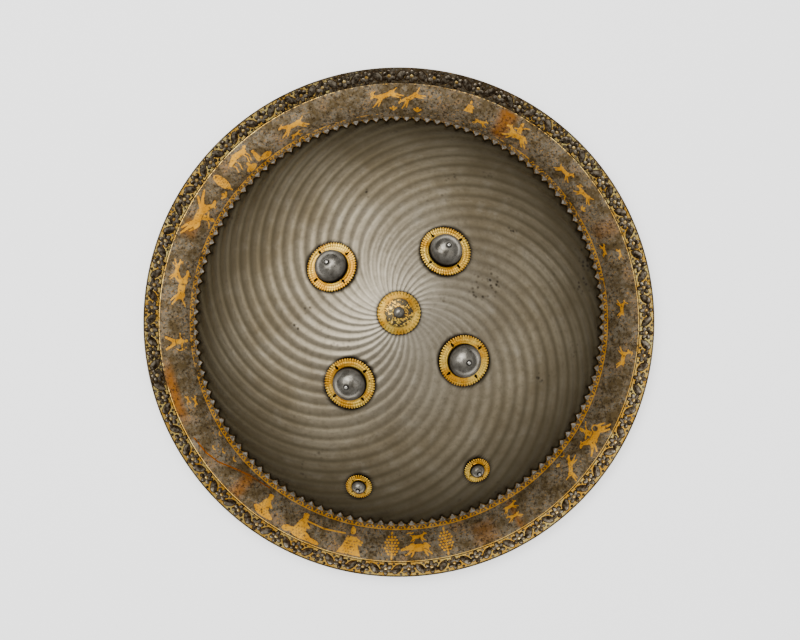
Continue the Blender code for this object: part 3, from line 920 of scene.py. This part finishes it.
# %% Whole band
# Gold taken away by bearing round the page: partly wear, partly painted shade towards the top.
GOLD_WEAR_AND_SHADE = [(0, 0.42), (30, 0.47), (56, 0.52), (64, 0.60), (78, 0.68), (95, 0.66), (108, 0.56),
        (120, 0.46), (150, 0.43), (180, 0.46), (190, 0.50), (193, 0.60), (196, 0.50), (202, 0.36),
        (235, 0.29), (260, 0.24), (300, 0.24), (335, 0.28), (348, 0.35), (360, 0.42)]
FIGURE_WEAR = 0.41
FACE_FROM = 0.0015
WELD = 2e-5
BAND_SHARP = math.radians(40)
# Bearing and half width in degrees, from and to radius in millimetres, and strength.
RUST = [(62, 2.8, 180, 206, 0.8), (198, 9.0, 199, 207, 0.8), (226.5, 2.0, 184, 206, 0.7),
        (301.0, 0.8, 181, 206, 0.6), (156, 3.0, 190, 204, 0.4), (292, 4.0, 186, 205, 0.35),
        (24, 3.0, 184, 205, 0.3)]


def bent(along, rho):
    """A point of the flat pattern on the band."""
    a = along * MM / FIELD_MIDDLE
    r = rho * MM
    return (r * math.cos(a), r * math.sin(a), front_height(r))


def rust_at(bearing, rho):
    """How rusty the band is at a place."""
    found = [0.0]
    for middle, half, inner, outer, strength in RUST:
        away = abs((bearing - middle + 180) % 360 - 180)
        depth = min(ramp(rho / MM, inner - 1, inner + 2), 1 - ramp(rho / MM, outer - 1, outer + 1))
        found.append(strength * depth * (1 - ramp(away, 0.4 * half, half)))
    return max(found)


solid = bmesh.new()
solid.from_mesh(band_edge.data)
for layer in list(solid.verts.layers.float):
    solid.verts.layers.float.remove(layer)
gold_layer, brown_layer = (solid.faces.layers.float.new(word) for word in ("gold", "brown"))
wear_and_shade_layer, rust_layer, border_layer = (
    solid.verts.layers.float.new(word) for word in ("wear_and_shade", "rust", "border"))
for face in solid.faces:
    middle = face.calc_center_median()
    rho = math.hypot(middle.x, middle.y)
    outside = face.normal.z > 0.5 and middle.z > FACE_FROM
    in_line = EDGE_OUT < rho < crease
    in_ground = off_plate(GROUND_INNER, FRONT)[0] < rho < off_plate(GROUND_OUTER, FRONT)[0]
    face[gold_layer] = 1.0 if outside and (in_line or in_ground) else 0.0
laid = [solid.verts.new(bent(*p)) for p in flat_points]
for corners, owner in zip(flat_faces, owners):
    face = solid.faces.new([laid[i] for i in corners][::-1])
    rho = sum(flat_points[i].y for i in corners) / len(corners)
    signs = {outlines[o][0] for o in owner}
    in_line = STRIP_LINE / MM < rho < STRIP_OUTER / MM
    face[gold_layer] = 1.0 if "-" not in signs and ("+" in signs or in_line) else 0.0
    face[brown_layer] = 1.0 if "rust" in signs else 0.0
bmesh.ops.remove_doubles(solid, verts=solid.verts, dist=WELD)
bearings, wears_and_shades = [b for b, _ in GOLD_WEAR_AND_SHADE], [w for _, w in GOLD_WEAR_AND_SHADE]
for vert in solid.verts:
    rho = math.hypot(vert.co.x, vert.co.y)
    bearing = (math.degrees(math.atan2(vert.co.y, vert.co.x)) + math.degrees(SHIELD_TURN)) % 360
    worn_and_shaded = float(np.interp(bearing, bearings, wears_and_shades))
    vert[wear_and_shade_layer] = FIGURE_WEAR if STRIP_OUTER < rho < EDGE_OUT else worn_and_shaded
    vert[rust_layer] = rust_at(bearing, rho)
    vert[border_layer] = ramp(rho, EDGE_OUT, crease)
print("open edges in the band:", sum(not e.is_manifold for e in solid.edges), "faces:", len(solid.faces))
band_mesh = bpy.data.meshes.new("rim_band_damascened")
solid.to_mesh(band_mesh)
solid.free()
bpy.data.objects.remove(band_edge)
band_mesh.materials.clear()
band_mesh.materials.append(band_steel)
band_mesh.shade_smooth()
band_mesh.set_sharp_from_angle(angle=BAND_SHARP)
band = placed("rim_band_damascened", band_mesh)
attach(band, "root")
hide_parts("rim_band")


# %% [markdown]
# The teeth of the crest, the flowers and the leaves all repeat round a ring. A second tree does
# that: it sets points round the axis, turns each one to face outwards and lean with the surface,
# and puts a copy of a shape on it. A sway turns every second copy the other way, which is how the
# leaves lean to and fro.

# %% Tree that repeats round a ring
repeating, given = new_tree("repeated_round_a_ring", [
    ("Shape", "Object", None), ("Count", "Int", 12), ("Radius", "Float", 0.1), ("Height", "Float", 0.0),
    ("Lean", "Float", 0.0), ("First", "Float", 0.0), ("Spin", "Float", 0.0), ("Sway", "Float", 0.0)])
index = add(repeating, "GeometryNodeInputIndex")
share = add(repeating, "Math", index, given["Count"], operation="DIVIDE")
bearing = add(repeating, "Math", share, 2 * math.pi, given["First"], operation="MULTIPLY_ADD")
on_axis = add(repeating, "CombineXYZ", {"X": given["Radius"], "Z": given["Height"]})
place = add(repeating, "VectorRotate", {"Vector": on_axis, "Angle": bearing}, rotation_type="Z_AXIS")
spots = add(repeating, "GeometryNodePoints", {"Count": given["Count"], "Position": place})
lean = add(repeating, "Math", given["Lean"], -1.0, operation="MULTIPLY")
upright = add(repeating, "CombineXYZ", {"Y": lean, "Z": bearing})
upright = add(repeating, "FunctionNodeEulerToRotation", upright)
half_turns = add(repeating, "Math", index, math.pi, operation="MULTIPLY")
to_and_fro = add(repeating, "Math", half_turns, operation="COSINE")
spin = add(repeating, "Math", to_and_fro, given["Sway"], given["Spin"], operation="MULTIPLY_ADD")
spin = add(repeating, "FunctionNodeEulerToRotation", add(repeating, "CombineXYZ", {"Z": spin}))
facing = add(repeating, "FunctionNodeRotateRotation", upright, spin, rotation_space="LOCAL")
shape = add(repeating, "GeometryNodeObjectInfo", {"Object": given["Shape"]}, transform_space="ORIGINAL")
end_tree(repeating, given, add(repeating, "GeometryNodeInstanceOnPoints", {
    "Points": spots, "Instance": shape.outputs["Geometry"], "Rotation": facing}))


# %% [markdown]
# The repeated shapes are low relief, as a chisel leaves them: an outline, shoulders inside it and
# a top. Each is a closed little solid that is sunk a little into what carries it. Flowers and
# leaves have a low flange round them, marked as a cut, that carries a dark ring of painted shadow
# round their foot.

# %% Small reliefs
def relief(name, outline, shoulders, sink, dark=-1):
    """A closed relief. Shoulders are shares of the outline along and across, and a height.
    Its rings up to the one whose number is given as dark are marked as a cut, which paints a dark ring of
    shadow round the foot."""
    bm = bmesh.new()
    # The cut attribute paints shadow round the foot of a relief.
    cut = bm.verts.layers.float.new("cut")
    rings = []
    for number, (along, across, rise) in enumerate([(1.0, 1.0, -sink)] + shoulders):
        level = rise if callable(rise) else lambda i, flat=rise: flat
        rings.append([bm.verts.new((x * along, y * across, level(i))) for i, (x, y) in enumerate(outline)])
        for vert in rings[-1]:
            vert[cut] = 1.0 if number <= dark else 0.0
    count = len(outline)
    for low, high in zip(rings, rings[1:]):
        for i in range(count):
            j = (i + 1) % count
            bm.faces.new((low[i], low[j], high[j], high[i]))
    bm.faces.new(rings[-1])
    bm.faces.new(rings[0][::-1])
    mesh = bpy.data.meshes.new(name)
    bm.to_mesh(mesh)
    bm.free()
    return placed(name, mesh)


def ringed(name, shape, finish, slot, **values):
    """A ring of copies of a shape, riding on the shield."""
    piece = grown(name, bpy.data.meshes.new(name), repeating, {"Shape": shape, "Finish": finish, **values})
    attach(piece, "root")
    return piece


def disc(radius, corners):
    """A round outline. The radius is in millimetres."""
    return [(radius * MM * math.cos(a), radius * MM * math.sin(a))
            for a in spread(0, 2 * math.pi, corners + 1)[:-1]]


PETALS = 6
PETAL_CORNERS = PETALS * 8


def petal_share(i):
    """1 on the middle line of a petal and 0 in the cut between two."""
    return abs(math.cos(PETALS / 2 * 2 * math.pi * i / PETAL_CORNERS)) ** 0.7


def petal_top(i):
    """Height of a petal: low in the cuts and high on its middle line."""
    return (0.10 + 0.50 * petal_share(i)) * MM


flower_outline = []
for i in range(PETAL_CORNERS):
    a = 2 * math.pi * i / PETAL_CORNERS
    r = 6.0 * MM * (0.60 + 0.40 * petal_share(i))
    flower_outline.append((r * math.cos(a), r * math.sin(a)))
flower = relief("flower", flower_outline, [
    (1.11, 1.11, 0.03 * MM), (1.0, 1.0, 0.06 * MM), (0.97, 0.97, 0.14 * MM), (0.86, 0.86, petal_top),
    (0.52, 0.52, petal_top), (0.32, 0.32, 0.05 * MM)], 0.5 * MM, dark=2)
heart = relief("heart", disc(1.55, 12), [
    (0.95, 0.95, 0.30 * MM), (0.70, 0.70, 0.50 * MM), (0.3, 0.3, 0.56 * MM)], 0.3 * MM)
leaf_outline = []
for i in range(16):
    a = 2 * math.pi * i / 16
    swell = 3.0 * abs(math.sin(a)) ** 1.1 * math.copysign(1, math.sin(a))
    leaf_outline.append((5.9 * MM * math.cos(a), (swell + 0.8 * math.cos(a) ** 2 * math.sin(2 * a)) * MM))
leaf = relief("leaf", leaf_outline, [
    (1.08, 1.16, 0.03 * MM), (1.0, 1.0, 0.06 * MM), (0.96, 0.94, 0.14 * MM),
    (0.90, 0.08, 0.72 * MM)], 0.5 * MM, dark=2)
bud = relief("bud", disc(1.5, 8), [(0.8, 0.8, 0.26 * MM), (0.3, 0.3, 0.36 * MM)], 0.3 * MM)
root_outline = [(-4.3 * MM, 0.0), (-2.1 * MM, 2.1 * MM), (0.1 * MM, 4.2 * MM), (0.7 * MM, 3.6 * MM)]
root_outline += [(0.7 * MM, 0.0)] + [(x, -y) for x, y in root_outline[:0:-1]]
root = relief("root", root_outline[::-1], [(1.0, 1.0, 0.05 * MM)], BAND_PLATE)
tip_outline = [(-4.35 * MM, 0.0), (-2.4 * MM, 1.45 * MM), (-0.5 * MM, 2.5 * MM), (0.4 * MM, 2.2 * MM)]
tip_outline += [(0.6 * MM, 0.0)] + [(x, -y) for x, y in tip_outline[:0:-1]]
tip = relief("tip", tip_outline[::-1], [(0.98, 0.96, 0.12 * MM), (0.62, 0.30, 0.36 * MM)], 0.4 * MM)
print("faces in a flower:", len(flower.data.polygons))


# %% [markdown]
# The flowers and leaves are steel, left standing when the ground round them was cut back and gilded.
# Their tops are polished by handling, and the dark brown ring round their foot is painted shadow.
# One function makes all the metals of two tones: this one, the crest, its tips with their painted
# highlight and the pale worn gold.

# %% Chiselled steel
def mottled(name, roughness, size, dark, light):
    """A steel or gold of two tones, in patches of a stated size, and dark brown where the cut attribute
    paints shadow.
    """
    made, tree, shader, place = metal_material(name, roughness)
    # The dark brown on the cut rings is painted shadow.
    tone = painted(tree, place, dark, (light, (size, 4.0, 0.6, 0.42, 0.64)), ("#38271a", "cut"))
    feed(tree, shader, {"Base Color": tone})
    print("made", name)
    return made


chiselled = mottled("chiselled_dark_steel", 0.42, 0.0034, "#3a3023", "#8c8271")
dark_root = mottled("crest_steel_with_gold", 0.50, 0.0016, "#43392a", "#b98b3e")
# Painted highlight: the tips of the crest are a lighter copy of its steel.
tip_steel_painted_highlight = mottled("tip_steel_with_painted_highlight", 0.50, 0.0028, "#6f675a", "#b3ac9f")
pale_gold = mottled("pale_worn_gold", 0.38, 0.0035, "#a5803c", "#ecd28c")


# %% [markdown]
# Fire gilding is a thin skin of gold on steel or brass. It is rich yellow where it is clean, turns
# orange under old lacquer and dirt, and shows dark specks where it has gone through. An attribute
# says where dirt has gathered and where shade is painted, and another where the arabesque is engraved.

# %% Fire gilding
gilding, tree, shader, place = metal_material("fire_gilding", 0.34)
grain, grain_mask = patches(tree, place, 0.0013, 3.0, 0.6, 0.50, 0.66)
_, curl = patches(tree, place, 0.0034, 2.0, 0.5, 0.43, 0.46, Distortion=1.6)
_, fleck = patches(tree, place, 0.0020, 4.0, 0.65, 0.61, 0.66)
dirt_and_shade = add(tree, "Attribute", attribute_name="dirt_and_shade").outputs["Fac"]
tone = painted(
    tree, place, "#da9820",
    ("#fad05a", (0.016, 4.0, 0.6, 0.40, 0.60)),
    ("#8f5f1c", 0.5, grain_mask),
    ("#4f4736", curl, "ornament"),
    # Dark where dirt gathers, with painted shade round the domes and in the notches of scalloped edges.
    ("#3b2d1a", add(tree, "Math", dirt_and_shade, fleck, operation="MAXIMUM")),
)
feed(tree, shader, {
    "Base Color": tone,
    "Normal": add(tree, "Bump", {"Height": grain, "Strength": 0.35, "Distance": 0.15 * MM}),
})
print("made", gilding.name)


# %% [markdown]
# The crest is a row of pointed leaves that overlap the bowl and stand clear of it by the thickness
# of the band. Their tips are a lighter steel, a painted highlight. On the border a flower and a leaf
# take turns, with a gold heart in each flower. The leaves lean to and fro, and a small bud fills
# each corner that they leave open.

# %% Crest and border
FLOWERS = 68
BORDER_MIDDLE = 0.2138
FLOWER_FIRST = math.radians(272.3) - SHIELD_TURN
LEAF_TILT = math.radians(38)
BUD_STEP = 3.1 * MM
BUDS_INNER = 0.2100
BUDS_OUTER = 0.2182
tooth_seat = off_plate(TOOTH_NOTCH, FRONT)
crest_lean = math.atan(plate_slope(TOOTH_NOTCH))
flower_seat = off_plate(BORDER_MIDDLE, FRONT)
unit = 2 * math.pi / FLOWERS
crest_place = {"Count": TEETH, "Radius": tooth_seat[0], "Height": tooth_seat[1], "Lean": crest_lean}
border_place = {"Count": FLOWERS, "Radius": flower_seat[0], "Height": flower_seat[1], "Lean": BORDER_LEAN}
ringed("crest_teeth", root, dark_root, "russet_steel", **crest_place)
ringed("crest_tips", tip, tip_steel_painted_highlight, "russet_steel", **crest_place)
ringed("border_flowers", flower, chiselled, "russet_steel", First=FLOWER_FIRST, **border_place)
ringed("border_flower_hearts", heart, pale_gold, "gilding", First=FLOWER_FIRST, **border_place)
ringed("border_leaves", leaf, chiselled, "russet_steel",
       First=FLOWER_FIRST + unit / 2, Sway=LEAF_TILT, **border_place)
for edge, middle, side in (("inner", BUDS_INNER, 1), ("outer", BUDS_OUTER, -1)):
    for parity, step, lean in (("even", 0.5, 1), ("odd", 1.5, -1)):
        seat = off_plate(middle, FRONT)
        ringed(f"border_buds_{edge}_{parity}", bud, chiselled, "russet_steel",
               Count=FLOWERS // 2, Radius=seat[0], Height=seat[1], Lean=BORDER_LEAN,
               First=FLOWER_FIRST + unit * step + side * lean * BUD_STEP / seat[0])


# %% [markdown]
# Each boss is a gilt washer, a hollow steel dome and a rivet, set square on the bowl. The bosses
# were set out by hand, so every seat has its own bearing and stray. A third tree stands
# a copy of the turned piece on each seat, with its axis along the plate's own normal.

# %% Tree that stands pieces on their seats
seating, given = new_tree("stood_on_seats", [("Piece", "Object", None)])
normal = add(seating, "GeometryNodeInputNamedAttribute", {"Name": "seat_normal"}, data_type="FLOAT_VECTOR")
facing = add(seating, "FunctionNodeAlignRotationToVector", {"Vector": normal}, axis="Z")
shape = add(seating, "GeometryNodeObjectInfo", {"Object": given["Piece"]}, transform_space="ORIGINAL")
end_tree(seating, given, add(seating, "GeometryNodeInstanceOnPoints", {
    "Points": given["Geometry"], "Instance": shape.outputs["Geometry"], "Rotation": facing}))


def seats_mesh(circle, seats):
    """One point for each seat, with the plate's normal there."""
    places, normals = seat_places(circle, seats), []
    for place in places:
        away = Vector((place.x, place.y, 0)).normalized()
        normals += (Vector((0, 0, 1)) - away * plate_slope(place.xy.length)).normalized()[:]
    mesh = bpy.data.meshes.new("seats")
    mesh.from_pydata(places, [], [])
    mesh.attributes.new("seat_normal", "FLOAT_VECTOR", "POINT").data.foreach_set("vector", normals)
    return mesh


print("seats:", len(GRIP_SEATS) + len(STRAP_SEATS))


# %% [markdown]
# The domes are hollow, polished once and now grey. The black line round the foot and round the
# rivet, the darkening towards the foot and the dark ring round each rivet head are painted shade,
# and the light middle of each rivet head is a painted highlight. The knob darkens towards its edge
# as painted shade too.

# %% Polished steel of the domes
dome_steel, tree, shader, place = metal_material("polished_steel_dome", 0.30)
haze, haze_mask = patches(tree, place, 0.008, 5.0, 0.6, 0.36, 0.66)
tone = painted(
    tree, place, "#5f5a50",
    ("#948f85", haze_mask),
    ("#3f382d", 0.6, (0.0024, 4.0, 0.65, 0.58, 0.68)),
    # Painted highlight in the middle of the rivet heads.
    ("#cfcabf", "painted_highlight"),
    # Painted shade: black at the foot of the domes, round the rivets and at the knob's edge.
    ("#14110d", "foot"),
)
gloss = add(tree, "MapRange", haze, 0.3, 0.7, 0.19, 0.29)
foot = add(tree, "Attribute", attribute_name="foot").outputs["Fac"]
# Where painted shade lies, the steel stops reflecting.
unshaded = add(tree, "Math", 1.0, foot, operation="SUBTRACT")
feed(tree, shader, {
    "Base Color": tone,
    "Metallic": unshaded,
    "Specular IOR Level": add(tree, "Math", unshaded, 0.5, operation="MULTIPLY"),
    "Roughness": add(tree, "Math", foot, 0.6, gloss, operation="MULTIPLY_ADD"),
})
print("made", dome_steel.name)


# %% [markdown]
# The washers are the brightest things on the bowl. Their flutes come from the turning tree, in two
# rows with a fine line between them and a scalloped edge. Four teardrops are pierced through
# each one beside the dome. They are cut with an exact Boolean, because they are real holes.

# %% Bosses
WASHER_PLATE = 0.0010
CAP_WALL = 0.0010
SHANK = 0.0010
HOLE = SHANK + 0.0003
GRIP_BOSS = {"washer": 0.0214, "cap": 0.0141, "cap_height": 0.0127, "head": 0.0021, "flutes": 58}
STRAP_BOSS = {"washer": 0.0112, "cap": 0.0060, "cap_height": 0.0056, "head": 0.0017, "flutes": 34}
COLUMNS_PER_LOBE = 6
DROPS_FIRST = math.radians(39) - SHIELD_TURN


def least_sag(r, reach):
    """How far the bowl falls away from its tangent at this reach, on its flatter side."""
    slope = plate_slope(r)
    steeper = (plate_slope(r * 1.001) - slope) / (r * 0.001)
    along = abs(steeper) / (1 + slope ** 2) ** 1.5
    across = abs(slope) / (r * math.hypot(1.0, slope))
    return min(along, across) * reach ** 2 / 2


def washer_pattern(boss, circle):
    """The washer of a boss round the z axis, fluted. It is pierced afterwards."""
    reach, cap = boss["washer"], boss["cap"]
    dish = 0.8 * least_sag(circle, reach)
    high = GAP + WASHER_PLATE
    collar = cap + 0.24 * (reach - cap)
    middle = cap + 0.62 * (reach - cap)
    rise, edge = 0.10 * MM, 0.62 * MM
    table = [(HOLE, 0, 0, 0), (cap + 0.1 * MM, 0, 0, 0), (cap + 0.5 * MM, rise, 0, 0), (collar, rise, 0, 0),
             (collar + 0.25 * MM, -rise, 0.05 * MM, 0)]
    table += [(r, 0.6 * rise, 0.18 * MM, 0) for r in spread(collar + 0.5 * MM, middle - 0.3 * MM, 3)]
    table += [(middle, -1.2 * rise, 0.03 * MM, 0)]
    table += [(r, 0.8 * rise, 0.20 * MM, 0) for r in spread(middle + 0.3 * MM, reach - 0.8 * MM, 3)]
    table += [(reach - 0.3 * MM, -rise, 0.26 * MM, edge), (reach, -4 * rise, 0.15 * MM, edge)]
    cone = [(r, high + lift - dish * (r - HOLE) / (reach - HOLE)) for r, lift, _, _ in table]
    loop = cone + [(reach, GAP - dish), (HOLE, GAP), cone[0]]
    grooves = [g for _, _, g, _ in table] + [0, 0, 0]
    scallops = [s for _, _, _, s in table] + [edge, 0, 0]
    profile = outline_mesh(loop, groove=lambda i: grooves[i], scallop=lambda i: scallops[i])
    made = grown("washer_pattern", profile, turning, {
        "Columns": boss["flutes"] * COLUMNS_PER_LOBE, "Flutes": boss["flutes"],
        "Sharpness": 1.4, "Finish": gilding})

    def dirt_and_shade(co, r, deep):
        in_flutes = 0.7 * deep ** 2 * ramp(r, collar, reach)
        # Painted shade: a dark ring on the washer round the foot of the dome.
        shade_round_dome = 1 - ramp(r, cap + 0.2 * MM, cap + 0.7 * MM)
        # Painted shade: dark in the notches of the scalloped edge.
        shade_in_scallops = ramp(r, reach - 1.7 * MM, reach - 0.9 * MM) * ramp(deep, 0.25, 0.6)
        return max(in_flutes, shade_round_dome, shade_in_scallops)

    return marked(made, "dirt_and_shade", dirt_and_shade)


def pierced(pattern, boss):
    """Cuts four teardrops through the washer."""
    size = boss["washer"] / GRIP_BOSS["washer"] * MM
    drop = []
    for i in range(12):
        a = 2 * math.pi * i / 12
        narrowing = 0.62 - 0.38 * math.cos(a)
        drop.append((2.3 * size * math.cos(a), 1.35 * size * math.sin(a) * narrowing * 1.35))
    cutter = relief("drop", drop, [(1.0, 1.0, 3 * MM)], 3 * MM)
    drops = grown("drops", bpy.data.meshes.new("drops"), repeating, {
        "Shape": cutter, "Count": 4, "Radius": boss["cap"] + 3.2 * size, "Height": GAP, "First": DROPS_FIRST})
    cut = pattern.modifiers.new("pierced", "BOOLEAN")
    cut.operation = "DIFFERENCE"
    cut.solver = "EXACT"
    cut.object = drops
    graph = bpy.context.evaluated_depsgraph_get()
    mesh = bpy.data.meshes.new_from_object(pattern.evaluated_get(graph), depsgraph=graph)
    pattern.modifiers.clear()
    pattern.data = mesh
    for helper in (cutter, drops):
        bpy.data.objects.remove(helper)
    return pattern


def domed(radius, height, low, count, end=0.0):
    """Points of a quarter ellipse, from its foot up to where it meets this radius."""
    last = math.acos(end / radius)
    return [(radius * math.cos(a), low + height * math.sin(a)) for a in spread(0.0, last, count)]


def clenched(seat, shank, low):
    """The hidden part of a rivet: its shank and the end that is hammered flat behind the plate."""
    clench = shank + 0.0022
    return [(shank, seat), (shank, low), (0.9 * clench, low), (clench, low - 0.3 * MM),
            (0.8 * clench, low - 0.8 * MM), (0.4 * clench, low - 1.0 * MM), (0.0, low - 1.0 * MM)]


def stood(name, pattern, finish, circle, seats, nodes):
    """Copies of a pattern on their seats, in place of the plain pieces."""
    piece = grown(name, seats_mesh(circle, seats), seating, {"Piece": pattern, "Finish": finish})
    bpy.data.objects.remove(pattern)
    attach(piece, "root")
    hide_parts(*nodes)
    return piece


def add_bosses(family, boss, circle, seats):
    """The washers, domes and rivets of one family of bosses."""
    names = {kind: [f"{family}_{kind}_{i + 1}" for i in range(len(seats))]
             for kind in ("washer", "cap", "rivet")}
    washer = pierced(washer_pattern(boss, circle), boss)
    stood(f"{family}_washers", washer, gilding, circle, seats, names["washer"])
    cap, head, foot = boss["cap"], boss["head"], 2 * GAP + WASHER_PLATE
    outer = domed(cap, boss["cap_height"], foot, 18, HOLE)
    inner = domed(cap - CAP_WALL, boss["cap_height"] - CAP_WALL, foot, 8, HOLE)
    dome = grown("dome", outline_mesh((outer + inner[::-1] + outer[:1])[::-1]), turning, {
        "Columns": 72, "Finish": dome_steel})
    # Painted shade: darker towards the dome's foot, black at it, and black round the rivet.
    marked(dome, "foot", lambda co, r, deep: max(
        0.6 * ramp(r, cap * 0.68, cap * 0.90), ramp(r, cap * 0.90, cap * 0.98),
        1 - ramp(r, head, head * 1.4)))
    stood(f"{family}_caps", dome, dome_steel, circle, seats, names["cap"])
    seat = 3 * GAP + WASHER_PLATE + boss["cap_height"]
    front = [(0.0, seat + 0.9 * MM), (0.35 * head, seat + 0.84 * MM), (0.58 * head, seat + 0.66 * MM),
             (0.68 * head, seat + 0.40 * MM), (0.74 * head, seat + 0.22 * MM), (0.9 * head, seat + 0.24 * MM),
             (head, seat + 0.1 * MM), (head, seat)]
    back = clenched(seat, SHANK, -(PLATE + 0.0009))
    rivet = grown("rivet", outline_mesh(front + back), turning, {"Columns": 28, "Finish": dome_steel})
    # Painted highlight in the middle of the rivet head, painted shade round its edge.
    marked(rivet, "painted_highlight", lambda co, r, deep: 1 - ramp(r, 0.55 * head, 0.7 * head))
    marked(rivet, "foot", lambda co, r, deep: 1.0 if 0.66 * head < r and co.z > 0 else 0.0)
    stood(f"{family}_rivets", rivet, dome_steel, circle, seats, names["rivet"])


add_bosses("grip", GRIP_BOSS, GRIP_RADIUS, GRIP_SEATS)
add_bosses("strap", STRAP_BOSS, STRAP_RADIUS, STRAP_SEATS)


# %% [markdown]
# The rosette on the crown hides the place where all the flutes meet. It is a gilt plate, slightly
# domed, with a beaded edge, a ring of punched dots and an engraved arabesque. A worn steel knob
# holds it.

# %% Crown
ROSETTE = 0.0180
ROSETTE_RISE = 0.0034
ROSETTE_PLATE = 0.0011
KNOB = 0.0046
KNOB_HEIGHT = 0.0036
KNOB_SHANK = 0.0017
BEADS = 38

crown = plate_height(0.0)
foot = crown + GAP + plate_height(ROSETTE) - plate_height(0.0)
top = crown + GAP + ROSETTE_RISE
knob_hole = KNOB_SHANK + 0.0003
shoulder_top = foot + 0.66 * (top - foot)
rosette_rows = [(knob_hole, top), (0.006, top - 0.0003), (0.6 * ROSETTE, shoulder_top), (ROSETTE, foot)]
radii_known, heights_known = zip(*rosette_rows)
rows = spread(knob_hole, ROSETTE - 0.0016, 24) + [ROSETTE - 0.0009, ROSETTE - 0.0004]
over = [(r, float(np.interp(r, radii_known, heights_known)) + ROSETTE_PLATE) for r in rows]
over += [(ROSETTE, foot + 0.7 * ROSETTE_PLATE)]
under = [(ROSETTE, foot), (0.6 * ROSETTE, shoulder_top), (knob_hole, top)]
loop = over + under + over[:1]


def bead_cut(i):
    """The edge is beaded, and the cuts fade a millimetre in from it."""
    return 0.35 * MM * ramp(loop[i][0], ROSETTE - 1.2 * MM, ROSETTE)


def bead_groove(i):
    return 0.25 * MM * ramp(loop[i][0], ROSETTE - 1.6 * MM, ROSETTE) if i < len(over) else 0.0


def rosette_dirt_and_shade(co, r, deep):
    """Punched dots inside the beads, painted shade in the notches between beads, and dirt round the knob."""
    dots = ramp(0.9 * MM - abs(r - (ROSETTE - 2.1 * MM)), 0, 0.4 * MM) * ramp(deep, 0.5, 0.9)
    # Painted shade in the notches between the beads.
    return max(0.75 * dots, ramp(r, ROSETTE - 0.8 * MM, ROSETTE) * deep, 1 - ramp(r, KNOB, 1.3 * KNOB))


rosette = grown("crown_rosette_gilt", outline_mesh(loop, groove=bead_groove, scallop=bead_cut), turning, {
    "Columns": BEADS * 8, "Flutes": BEADS, "Sharpness": 1.4, "Finish": gilding})
marked(rosette, "dirt_and_shade", rosette_dirt_and_shade)
marked(rosette, "ornament", lambda co, r, deep: ramp(r, 0.0040, 0.0048) * (1 - ramp(r, 0.0116, 0.0130)))
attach(rosette, "root")
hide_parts("crown_rosette")

seat = top + ROSETTE_PLATE + GAP
front = domed(KNOB, KNOB_HEIGHT, seat, 10)[::-1]
back = clenched(seat, KNOB_SHANK, crown - (PLATE + 0.0009))
knob = grown("crown_knob_steel", outline_mesh(front + back), turning, {"Columns": 40, "Finish": dome_steel})
# Painted shade: the knob darkens towards its edge.
marked(knob, "foot", lambda co, r, deep: 0.85 * ramp(r, 0.45 * KNOB, KNOB))
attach(knob, "root")
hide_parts("crown_knob")
for helper in (root, tip, flower, heart, leaf, bud):
    bpy.data.objects.remove(helper)
